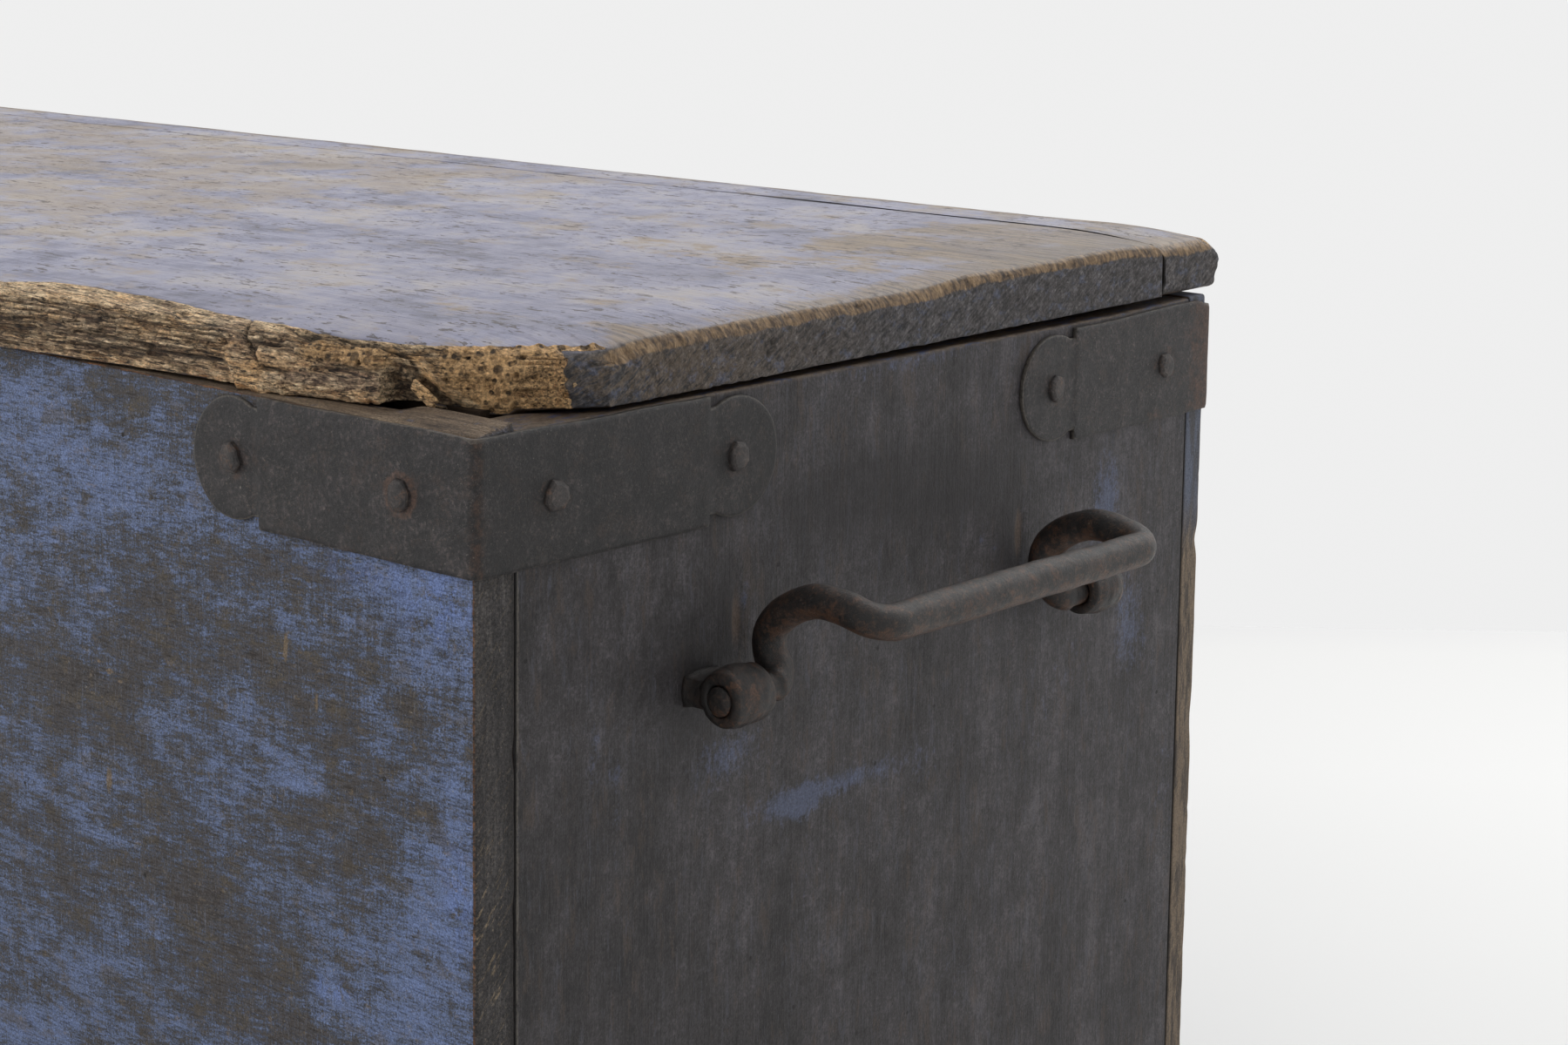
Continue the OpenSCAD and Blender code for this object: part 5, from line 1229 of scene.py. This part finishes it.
def strap_stations(reach):
    rim = reach + LOBE_R * np.sin(np.radians(np.linspace(-28, 90, 20)))
    return np.concatenate([spaced(3.0, (reach - NECK - 0.02, 2.2)), [reach - NECK + 0.02], rim])


def strap(name, node, side_x, side_y, z_low, side_reach, seed):
    """One strap round a corner, bent from a flat outline: the front leg first, then the end leg."""
    a, b = strap_stations(FRONT_REACH), strap_stations(side_reach)
    along = np.concatenate([-a[::-1], np.linspace(-STRAP_BEND, STRAP_BEND, 9), b])
    p, faces = lattice(along, spaced(-1, (1, 0.07)), spaced(0, (STRAP_T, 0.9)))
    d = p[:, 0]
    reach = np.where(d < 0, FRONT_REACH, side_reach)
    half = strap_half(np.abs(d), reach)
    w, t = p[:, 1] * half, p[:, 2].copy()
    rim = np.minimum(half - np.abs(w), (LOBE_R - np.hypot(np.abs(d) - reach, w))
                     + 999.0 * (np.abs(d) < reach - 4))
    flat = np.stack([d, w, 0 * d], 1)
    hammered = 0.30 * fbm(flat, (15, 15, 9), seed, 3)
    lobe_drop = 0.55 * step(np.abs(d), reach - NECK - 0.5, reach - NECK + 0.5)
    uneven = hammered - lobe_drop * (1 if side_y < 0 else 0.6)
    t = t * (1 + uneven / STRAP_T) - 0.35 * step(rim, 1.2, 0.0) * (t > 1.4)
    wave = 0.45 * fbm(flat, (30, 9, 9), seed + 5) * (np.abs(w) > 0.9 * half)
    r = STRAP_BEND
    front = np.stack([HALF_LEN + np.minimum(d, -r), -HALF_DEPTH - t, w], 1)
    side = np.stack([HALF_LEN + t, -HALF_DEPTH + np.maximum(d, r), w], 1)
    ang = np.radians((d + r) / (2 * r) * 90)
    bend = np.stack([HALF_LEN - r + (r + t) * np.sin(ang), -HALF_DEPTH + r - (r + t) * np.cos(ang), w], 1)
    q = np.where((d <= -r)[:, None], front, np.where((d >= r)[:, None], side, bend))
    q[:, 2] += z_low + STRAP_W / 2 + wave
    if side_y > 0 and z_low > 300:
        q[:, 2] += 2.4 * step(w, 4, STRAP_W / 2) * step(-d, -105, -12) * step(d, 2, 9)
    q[:, 0] *= side_x
    if side_y > 0:
        q[:, 1] *= -1
    if side_x * side_y > 0:
        faces = faces[:, ::-1]
    rust = 0.40 * bell(d, 0.6, 1.8) + 0.16 * bell(d, 0, 20)
    for nail_at in (-FIRST_NAIL, FIRST_NAIL, -FRONT_REACH, side_reach):
        away = np.hypot(d - nail_at, w)
        rust = rust + (0.75 if nail_at == -FIRST_NAIL else 0.42) * bell(away, 7.8, 2.0)
    if side_y > 0:
        rust = rust + 0.55 * bell(d, 0, 24) * (d > -6) + 0.5 * bell(d, 46, 9) * bell(w, -24, 7)
    # A painted highlight at the top of the corner bend, added to the pale worn rims
    tip = 0.9 * bell(d, 0, 2.2) * bell(w, STRAP_W / 2, 1.8)
    edge = (1 - step(rim, 0.2, 1.1)) * (0.55 + 0.3 * step(np.abs(d), reach - 22, reach - 6)) + tip
    edge = edge + 0.35 * bell(np.abs(d), reach - NECK, 0.8)
    # The leg field marks each strap's end leg for painted shade, at half strength on the rear straps
    fields = {"rust": rust, "edge": edge, "leg": step(d, -1, 1) * (1.0 if side_y < 0 else 0.5)}
    return piece(name, q, faces, "box", [node], STRAP, fields)


def straps():
    for i, (level, z) in enumerate(STRAP_LOW.items()):
        for sy, place, reach in ((-1, "Front", END_REACH), (1, "Back", REAR_REACH)):
            for sx in (1, -1):
                node = f"{level}_strap_{place}_{hand_name(sx)}".lower()
                seed = 100 + 7 * (i * 4 + (sy > 0) * 2 + (sx > 0))
                strap(f"{level}Strap{place}{hand_name(sx)}", node, sx, sy, z, reach, seed)


# Nails

HEAD_R, HEAD_HIGH = 6.6, 2.5


def nail_head(at, out, seed):
    """A hammered head: an uneven eight-sided rim that rises to a faceted, slightly off-centre top."""
    rs = np.random.RandomState(seed)
    at, out, up = np.array(at, float), np.array(out, float), np.array([0.0, 0.0, 1.0])
    across = np.cross(up, out)
    turn = rs.uniform(0, math.pi / 4)
    angles = np.arange(8) * math.pi / 4 + turn + rs.uniform(-0.14, 0.14, 8)
    size = HEAD_R * (1 + rs.uniform(-0.14, 0.05, 8))
    squash = rs.uniform(0.86, 1.0)
    off = rs.uniform(-0.5, 0.5, 2)
    lean = rs.uniform(-0.035, 0.035, 2)
    rings = []
    for share, rise in ((1.0, -0.5), (1.0, 0.35), (0.93, 0.62), (0.70, 0.93), (0.34, 1.0)):
        ring = []
        for k in range(24):
            i, f = divmod(k, 3)
            a0, a1 = angles[i], angles[(i + 1) % 8] + (2 * math.pi if i == 7 else 0)
            r0 = np.array([math.cos(a0), math.sin(a0)]) * size[i]
            r1 = np.array([math.cos(a1), math.sin(a1)]) * size[(i + 1) % 8]
            c = (r0 + (r1 - r0) * f / 3) * share * np.array([squash, 1.0])
            if share < 0.9:
                c = c + off * (1 - share) * 2
            lift = HEAD_HIGH * rise + (c @ lean if rise > 0 else 0)
            ring.append(at + across * c[0] + up * c[1] + out * lift)
        rings.append(ring)
    return tube(rings)


def strap_nails(level):
    heads = []
    z = STRAP_LOW[level] + STRAP_W / 2
    for sx in (1, -1):
        for sy, reach in ((-1, END_REACH), (1, REAR_REACH)):
            for along in (FIRST_NAIL, FRONT_REACH):
                heads.append(((sx * (HALF_LEN - along), sy * (HALF_DEPTH + STRAP_T), z), (0, sy, 0)))
            for along in (FIRST_NAIL, reach):
                heads.append(((sx * (HALF_LEN + STRAP_T), sy * (HALF_DEPTH - along), z), (sx, 0, 0)))
    first = 300 + (level == "Bottom")
    p, faces = joined([nail_head(at, out, first + 9 * i) for i, (at, out) in enumerate(heads)])
    return piece(f"{level}StrapNails", p, faces, "box", [f"{level.lower()}_strap_nails"], NAIL,
                 smooth=False)


# Handles and eyes

PIVOT_X, PIVOT_Z, LEG_Y = 610.0, 332.0, 94.0
PIN_BEND, NECK_BEND, SWEEP_BEND, GRIP_BEND = 8.0, 19.0, 75.0, 11.0
LEAVE, CREST, GRIP = 125.0, 8.0, -15.0
EYE_NEAR, EYE_LEN, PIN_R, ROD_R = 109.8, 22.5, 6.0, 7.1
# The neck is bent by hand: out and up from the pivot, how far it is off, and over what distance
NECK_AT, NECK_OFF, NECK_SPAN = (5.0, 26.0), (3.6, -6.2), 11.0
# The tails of an eye's shank, spread on the inner face of the board: thickness, half width and half height
TAIL_T, TAIL_W, TAIL_H = 4.0, 7.0, 30.0


def heading(a):
    return np.array([math.cos(math.radians(a)), math.sin(math.radians(a))])


def beside(a):
    return np.array([-math.sin(math.radians(a)), math.cos(math.radians(a))])


def handle_path():
    """Centre line of the back half of a handle, from its pin to the middle of the grip: out, y, up."""
    neck_start = PIN_BEND * heading(LEAVE)
    neck_mid = neck_start - NECK_BEND * beside(LEAVE)
    neck_end = neck_mid + NECK_BEND * beside(CREST)
    sweep_mid = neck_end - SWEEP_BEND * beside(CREST)
    sweep_end = sweep_mid + SWEEP_BEND * beside(GRIP)
    grip = sweep_end + GRIP_BEND * heading(GRIP)
    pts = [(0.0, y, 0.0) for y in np.linspace(EYE_NEAR + EYE_LEN + 0.2, LEG_Y + PIN_BEND, 14)]
    for t in np.radians(np.linspace(0, 90, 9)[1:]):
        d = heading(LEAVE) * PIN_BEND * (1 - math.cos(t))
        pts.append((d[0], LEG_Y + PIN_BEND - PIN_BEND * math.sin(t), d[1]))
    for a in np.linspace(LEAVE, CREST, 22)[1:]:
        d = neck_mid + NECK_BEND * beside(a)
        pts.append((d[0], LEG_Y, d[1]))
    for a in np.linspace(CREST, GRIP, 14)[1:]:
        d = sweep_mid + SWEEP_BEND * beside(a)
        pts.append((d[0], LEG_Y, d[1]))
    for t in np.radians(np.linspace(0, 90, 10)[1:]):
        d = sweep_end + GRIP_BEND * heading(GRIP) * math.sin(t)
        pts.append((d[0], LEG_Y - GRIP_BEND + GRIP_BEND * math.cos(t), d[1]))
    for y in np.linspace(LEG_Y - GRIP_BEND, 0, 34)[1:]:
        pts.append((grip[0], y, grip[1]))
    path = np.array(pts)
    lean = bell(np.hypot(path[:, 0] - NECK_AT[0], path[:, 2] - NECK_AT[1]), 0, NECK_SPAN)
    lean *= path[:, 1] < LEG_Y + 0.1
    path[:, 0] += NECK_OFF[0] * lean
    path[:, 2] += NECK_OFF[1] * lean
    return path


def handle(side):
    half = handle_path()
    path = np.concatenate([half, (half * [1, -1, 1])[::-1][1:]])
    m, n = len(path), 28
    travel = np.concatenate([[0], np.cumsum(np.linalg.norm(np.diff(path, axis=0), axis=1))])
    tangent = np.gradient(path, travel, axis=0)
    tangent /= np.linalg.norm(tangent, axis=1, keepdims=True)
    in_pin = np.abs(path[:, 1]) > LEG_Y + PIN_BEND - 1.0
    on_bar = step(-np.abs(path[:, 1]), -(LEG_Y - 4), -(LEG_Y - GRIP_BEND))
    crest_gap = np.linalg.norm(path[:, [0, 2]] - np.array([12, 26]), axis=1)
    radius = np.where(in_pin, PIN_R, ROD_R) + on_bar * (0.2 + 0.6 * (1 - (path[:, 1] / LEG_Y) ** 2).clip(0))
    radius = radius - 0.35 * bell(crest_gap, 0, 9) * ~in_pin
    up = np.array([0.0, 0.0, 1.0])
    normal = np.cross(tangent[0], up)
    rings, phase = [], np.linspace(0, 2 * math.pi, n, endpoint=False)
    for i in range(m):
        normal = normal - tangent[i] * (normal @ tangent[i])
        normal /= np.linalg.norm(normal)
        other = np.cross(tangent[i], normal)
        ring = path[i] + radius[i] * (np.outer(np.cos(phase), normal) + np.outer(np.sin(phase), other))
        rings.append(ring)
    first, last = rings[0], rings[-1]
    for grow, push in ((0.92, 0.25), (0.66, 1.1), (0.4, 1.35)):
        rings.insert(0, path[0] + (first - path[0]) * grow + np.array([0, push, 0]))
        rings.append(path[-1] + (last - path[-1]) * grow - np.array([0, push, 0]))
    p, faces = tube(rings)
    nrm = facing(p, faces)
    free = step(-np.abs(p[:, 1]), -(LEG_Y + PIN_BEND + 1), -(LEG_Y + PIN_BEND - 5))
    forged = (0.34 * fbm(p, (13, 13, 13), 210 + side, 3) + 0.20 * fbm(p, (5, 5, 5), 220 + side, 2)
              - 0.30 * step(fbm(p, (20, 20, 20), 230 + side, 2), 0.2, 0.5))
    p = p + nrm * (forged * free)[:, None]
    grip = step(p[:, 0], 26, 46) * step(-np.abs(p[:, 1]), -96, -84)
    low = step(-nrm[:, 2], 0.0, 0.7)
    p[:, 0] = PIVOT_X + p[:, 0]
    p[:, 2] += PIVOT_Z
    if side < 0:
        p[:, 0] *= -1
        faces = [f[::-1] for f in faces]
    hand = hand_name(side)
    return piece(f"{hand}Handle", p, faces, f"{hand.lower()}_bail", [f"{hand.lower()}_handle"],
                 HANDLE, {"grip": grip, "low": low, "hole": 0 * low})


def eye(side, place):
    """A barrel rolled from thick strap, its lapped end towards the wall, on a neck that enters the board."""
    y_mid = place * (EYE_NEAR + EYE_LEN / 2)
    bore = PIN_R + 0.1
    rows = []
    half = EYE_LEN / 2
    profile = [(-half + 0.6, bore + 0.2), (-half, bore + 1.0), (-half - 0.1, 9.2), (-half + 0.7, 10.6)]
    profile += [(half * f, 12.4 - 1.5 * f * f) for f in np.linspace(-0.9, 0.9, 11)]
    profile += [(half - 0.7, 10.6), (half + 0.1, 9.2), (half, bore + 1.0), (half - 0.6, bore + 0.2)]
    turns = np.linspace(0, 2 * math.pi, 64, endpoint=False)
    rough = np.random.RandomState(400 + 3 * place + side)
    for y, r in profile:
        outer = r > bore + 2
        lap = 1.5 * (turns / (2 * math.pi)) if outer else 0 * turns
        wob = 0.25 * np.sin(3 * turns + rough.uniform(0, 6)) if outer else 0 * turns
        rad = r - 0.8 + lap * 1.0 + wob if outer else r + 0 * turns
        ang = turns + math.radians(205)
        ring = [PIVOT_X + rad * np.cos(ang), y_mid + y + 0 * ang, PIVOT_Z + rad * np.sin(ang)]
        rows.append(np.stack(ring, 1))
    rows = np.array(rows)
    m, n = rows.shape[:2]
    i = np.arange(n)
    j = (i + 1) % n
    barrel_faces = [[a, b, c, d] for k in range(m - 1)
                    for a, b, c, d in zip(k * n + i, (k + 1) * n + i, (k + 1) * n + j, k * n + j)]
    barrel_faces += [[a, b, c, d] for a, b, c, d in zip((m - 1) * n + i, i, j, (m - 1) * n + j)]
    barrel = rows.reshape(-1, 3)
    barrel = barrel + facing(barrel, barrel_faces) * (0.28 * fbm(barrel, (6, 6, 6), 240 + place, 3))[:, None]
    neck, neck_faces = lattice(spaced(HALF_LEN - END_T, (HALF_LEN, 5), (PIVOT_X - 8.2, 1.3)),
                               spaced(-1, (1, 0.2)), spaced(-1, (1, 0.25)))
    nx = neck[:, 0]
    flare, in_wall = step(nx, HALF_LEN + 5, HALF_LEN - 1.5), nx < HALF_LEN - 0.5
    ny, nz = turn_square(neck[:, 1], neck[:, 2])
    neck = np.stack([nx, y_mid + ny * np.where(in_wall, 7.0, 10.6 + 0.8 * flare),
                     PIVOT_Z + nz * np.where(in_wall, 4.0, 6.4 + 1.2 * flare)], 1)
    neck = neck + facing(neck, neck_faces) * (0.3 * fbm(neck, (6, 6, 6), 250 + place, 3))[:, None]
    wall = HALF_LEN - END_T
    lo, hi = (wall - TAIL_T, -TAIL_W, -TAIL_H), (wall, TAIL_W, TAIL_H)
    tails, tail_faces = lattice(*(spaced(a, (b, gap)) for a, b, gap in zip(lo, hi, (1.3, 1.6, 2.5))))
    tails = rounded(tails, lo, hi, 1.2)
    thin = 1 - 0.45 * step(np.abs(tails[:, 2]), 8, TAIL_H)
    tails = np.stack([wall - (wall - tails[:, 0]) * thin, y_mid + tails[:, 1] * (0.6 + 0.4 * thin),
                      PIVOT_Z + tails[:, 2]], 1)
    p, faces = joined([(barrel, barrel_faces), (neck, neck_faces), (tails, tail_faces)])
    # Painted shade: the wall side of the barrel, the neck and the tails are darkened nearly to black
    hole = step(-p[:, 0], -PIVOT_X - 2, -PIVOT_X + 9)
    if side < 0:
        p[:, 0] *= -1
        faces = [f[::-1] for f in faces]
    hand, spot = hand_name(side), "Front" if place < 0 else "Back"
    return piece(f"{hand}Eye{spot}", p, faces, "box", [f"{hand}_eye_{spot}".lower()], EYE,
                 {"grip": np.zeros(len(p)), "low": np.zeros(len(p)), "hole": hole})


def turn_square(a, b):
    """Rounds a square of half side 1 a little towards a circle."""
    m = np.maximum(np.abs(a), np.abs(b))
    length = np.maximum(np.hypot(a, b), 1e-9)
    k = 1 + (m / length - 1) * 0.45
    return a * k, b * k


def splinter():
    """A flat bundle of fibres that stands out of the hollow in the lid's front edge, split at its tip."""
    parts = []
    place = LID_MARK + (3, 0, 2)
    for start, tip, wide, thick in (
            ((-66, 27, 6.6), (-52, 24.6, 0.6), 2.2, 1.1), ((-65, 26.6, 8.4), (-50.6, 25.2, 2.4), 1.3, 0.9),
            ((-65, 28.5, 4.6), (-56.2, 26.4, -0.2), 1.1, 0.8)):
        start, tip = np.array(start) + place, np.array(tip) + place
        along = (tip - start) / np.linalg.norm(tip - start)
        flat = np.cross(along, (0, 1, 0.1))
        flat /= np.linalg.norm(flat)
        out = np.cross(along, flat)
        rings = []
        for t in np.linspace(0, 1, 16):
            c = start + (tip - start) * t
            w, d = wide * (1 - 0.35 * t ** 4), thick * (1 - 0.35 * t)
            ring = [c + flat * w * math.copysign(abs(math.cos(a)) ** 0.6, math.cos(a)) + out * d * math.sin(a)
                    for a in np.linspace(0, 2 * math.pi, 14, endpoint=False)]
            rings.append(ring)
        parts.append(tube(rings))
    p, faces = joined(parts)
    p = p + facing(p, faces) * (0.5 * fbm(p, (6, 1.5, 1.5), 260, 3))[:, None]
    fields = lid_fields(p, raw=1.0, rise=0.9, tone=0.2, gold=0.6)
    return piece("LidSplinter", lid_to_part(p), faces, "lid", [], LID, fields)


INNER = inner_wood("inner_wood", 1.0)
# The lid's cleats take the inside wood at 0.4 of its brightness: painted shade under the lid
SHADED_CLEAT = inner_wood("cleat_wood", 0.4)
FRONT = front_paint()
END = end_paint()
BACK = back_paint()
LID = lid_finish("lid_paint")
STRAP = strap_finish()
NAIL = nail_finish()
HANDLE = handle_finish("handle_iron", 0.3)
EYE = handle_finish("eye_iron", 1.0)
HINGE = hinge_finish()

front_board()
back_board()
lid_plank()
lid_strip()
splinter()
straps()
for level in STRAP_LOW:
    strap_nails(level)
for side in (1, -1):
    end_board(side)
    handle(side)
    for place in (-1, 1):
        eye(side, place)

# The CAD nodes that are shown as they are
CAD_FINISH = (
    (INNER, ("bottom_plank_front", "bottom_plank_middle", "bottom_plank_back")),
    (SHADED_CLEAT, ("lid_cleat_right", "lid_cleat_left")),
    (NAIL, ("bottom_nails", "lid_cleat_nails", "back_leaf_nails", "lid_strap_nails")),
    (HINGE, ("back_leaf_right", "back_leaf_left", "hinge_pin_right", "hinge_pin_left", "lid_strap_right",
             "lid_strap_left")))
for material, nodes in CAD_FINISH:
    for node in nodes:
        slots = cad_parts[node].data.materials
        slots.clear()
        slots.append(material)


# Studio

# Camera at the photo's angle; the pale wall behind starts where the floor ends, in metres ahead of the camera
CAMERA_AT = (1.3282, -0.9265, 0.6469)
YAW, PITCH, ROLL = (math.radians(a) for a in (39.88, 7.61, 0.90))
SENSOR, LENS, SHIFT = 36.0, 64.9, (-0.0313, -0.163)
WALL_AT, FLOOR_REACH = 2.46, 12.0
WORLD_LIGHT, WORLD_SEEN = 0.6, 0.86


def floor_finish():
    """A plain pale floor, a little darker towards the wall so that it looks evenly bright."""
    f = Finish("floor_white", rough=0.9, spec=0.1)
    across, along = (f.math("SUBTRACT", f.axis(k), CAMERA_AT[k]) for k in (0, 1))
    ahead = f.plus((across, -math.sin(YAW)), (along, math.cos(YAW)))
    near = f.math("SUBTRACT", WALL_AT, ahead)
    return f.done(f.ramp(near, (0.0, 226, 226, 226), (0.08, 231, 231, 230), (0.42, 240, 240, 239),
                         (0.75, 243, 243, 242)))


def area(name, at, target, size, watts):
    data = bpy.data.lights.new(name, "AREA")
    data.shape = "RECTANGLE"
    data.size, data.size_y = size
    data.energy = watts
    o = bpy.data.objects.new(name, data)
    o.location = at
    o.rotation_mode = "QUATERNION"
    o.rotation_quaternion = (Vector(target) - Vector(at)).to_track_quat("-Z", "Y")
    bpy.context.scene.collection.objects.link(o)


def studio():
    ahead = np.array([-math.sin(YAW), math.cos(YAW)])
    aside = np.array([math.cos(YAW), math.sin(YAW)])
    corners = [np.array(CAMERA_AT[:2]) + ahead * a + aside * b for a, b in (
        (WALL_AT, -FLOOR_REACH), (WALL_AT, FLOOR_REACH), (-FLOOR_REACH, FLOOR_REACH),
        (-FLOOR_REACH, -FLOOR_REACH))]
    mesh = bpy.data.meshes.new("floor")
    mesh.from_pydata([(x, y, 0) for x, y in corners], [], [(3, 2, 1, 0)])
    mesh.materials.append(floor_finish())
    o = bpy.data.objects.new("floor", mesh)
    bpy.context.scene.collection.objects.link(o)

    world = bpy.data.worlds.new("studio")
    bpy.context.scene.world = world
    world.use_nodes = True
    t = world.node_tree
    bg = t.nodes["Background"]
    path = t.nodes.new("ShaderNodeLightPath")
    seen = path.outputs["Is Camera Ray"]
    for kind in ("Is Glossy Ray", "Is Transmission Ray"):
        n = t.nodes.new("ShaderNodeMath")
        n.operation = "MAXIMUM"
        t.links.new(seen, n.inputs[0])
        t.links.new(path.outputs[kind], n.inputs[1])
        seen = n.outputs[0]
    strength = t.nodes.new("ShaderNodeMapRange")
    strength.inputs["To Min"].default_value = WORLD_LIGHT
    strength.inputs["To Max"].default_value = WORLD_SEEN
    t.links.new(seen, strength.inputs["Value"])
    t.links.new(strength.outputs["Result"], bg.inputs["Strength"])
    bg.inputs["Color"].default_value = (1, 1, 1, 1)
    area("back_top", (0.3, 3.4, 3.6), (0.1, 0.2, 0.3), (4.0, 3.0), 120)
    area("left_front", (-1.8, -2.6, 2.0), (0.2, -0.2, 0.3), (2.4, 2.4), 34)
    area("right_back", (2.8, 1.9, 0.9), (0.55, 0.1, 0.3), (1.2, 1.6), 10)


def camera():
    ahead = Vector((-math.sin(YAW) * math.cos(PITCH), math.cos(YAW) * math.cos(PITCH), -math.sin(PITCH)))
    right = Vector((math.cos(YAW), math.sin(YAW), 0.0))
    up = right.cross(ahead)
    right, up = (math.cos(ROLL) * right + math.sin(ROLL) * up, -math.sin(ROLL) * right + math.cos(ROLL) * up)
    data = bpy.data.cameras.new("camera")
    data.sensor_width, data.lens = SENSOR, LENS
    data.shift_x, data.shift_y = SHIFT
    data.clip_start, data.clip_end = 0.02, 100.0
    o = bpy.data.objects.new("camera", data)
    o.matrix_world = Matrix.Translation(CAMERA_AT) @ Matrix(
        ((right.x, up.x, -ahead.x, 0), (right.y, up.y, -ahead.y, 0), (right.z, up.z, -ahead.z, 0),
         (0, 0, 0, 1)))
    bpy.context.scene.collection.objects.link(o)
    bpy.context.scene.camera = o


studio()
camera()
bpy.context.scene.view_settings.view_transform = "Standard"
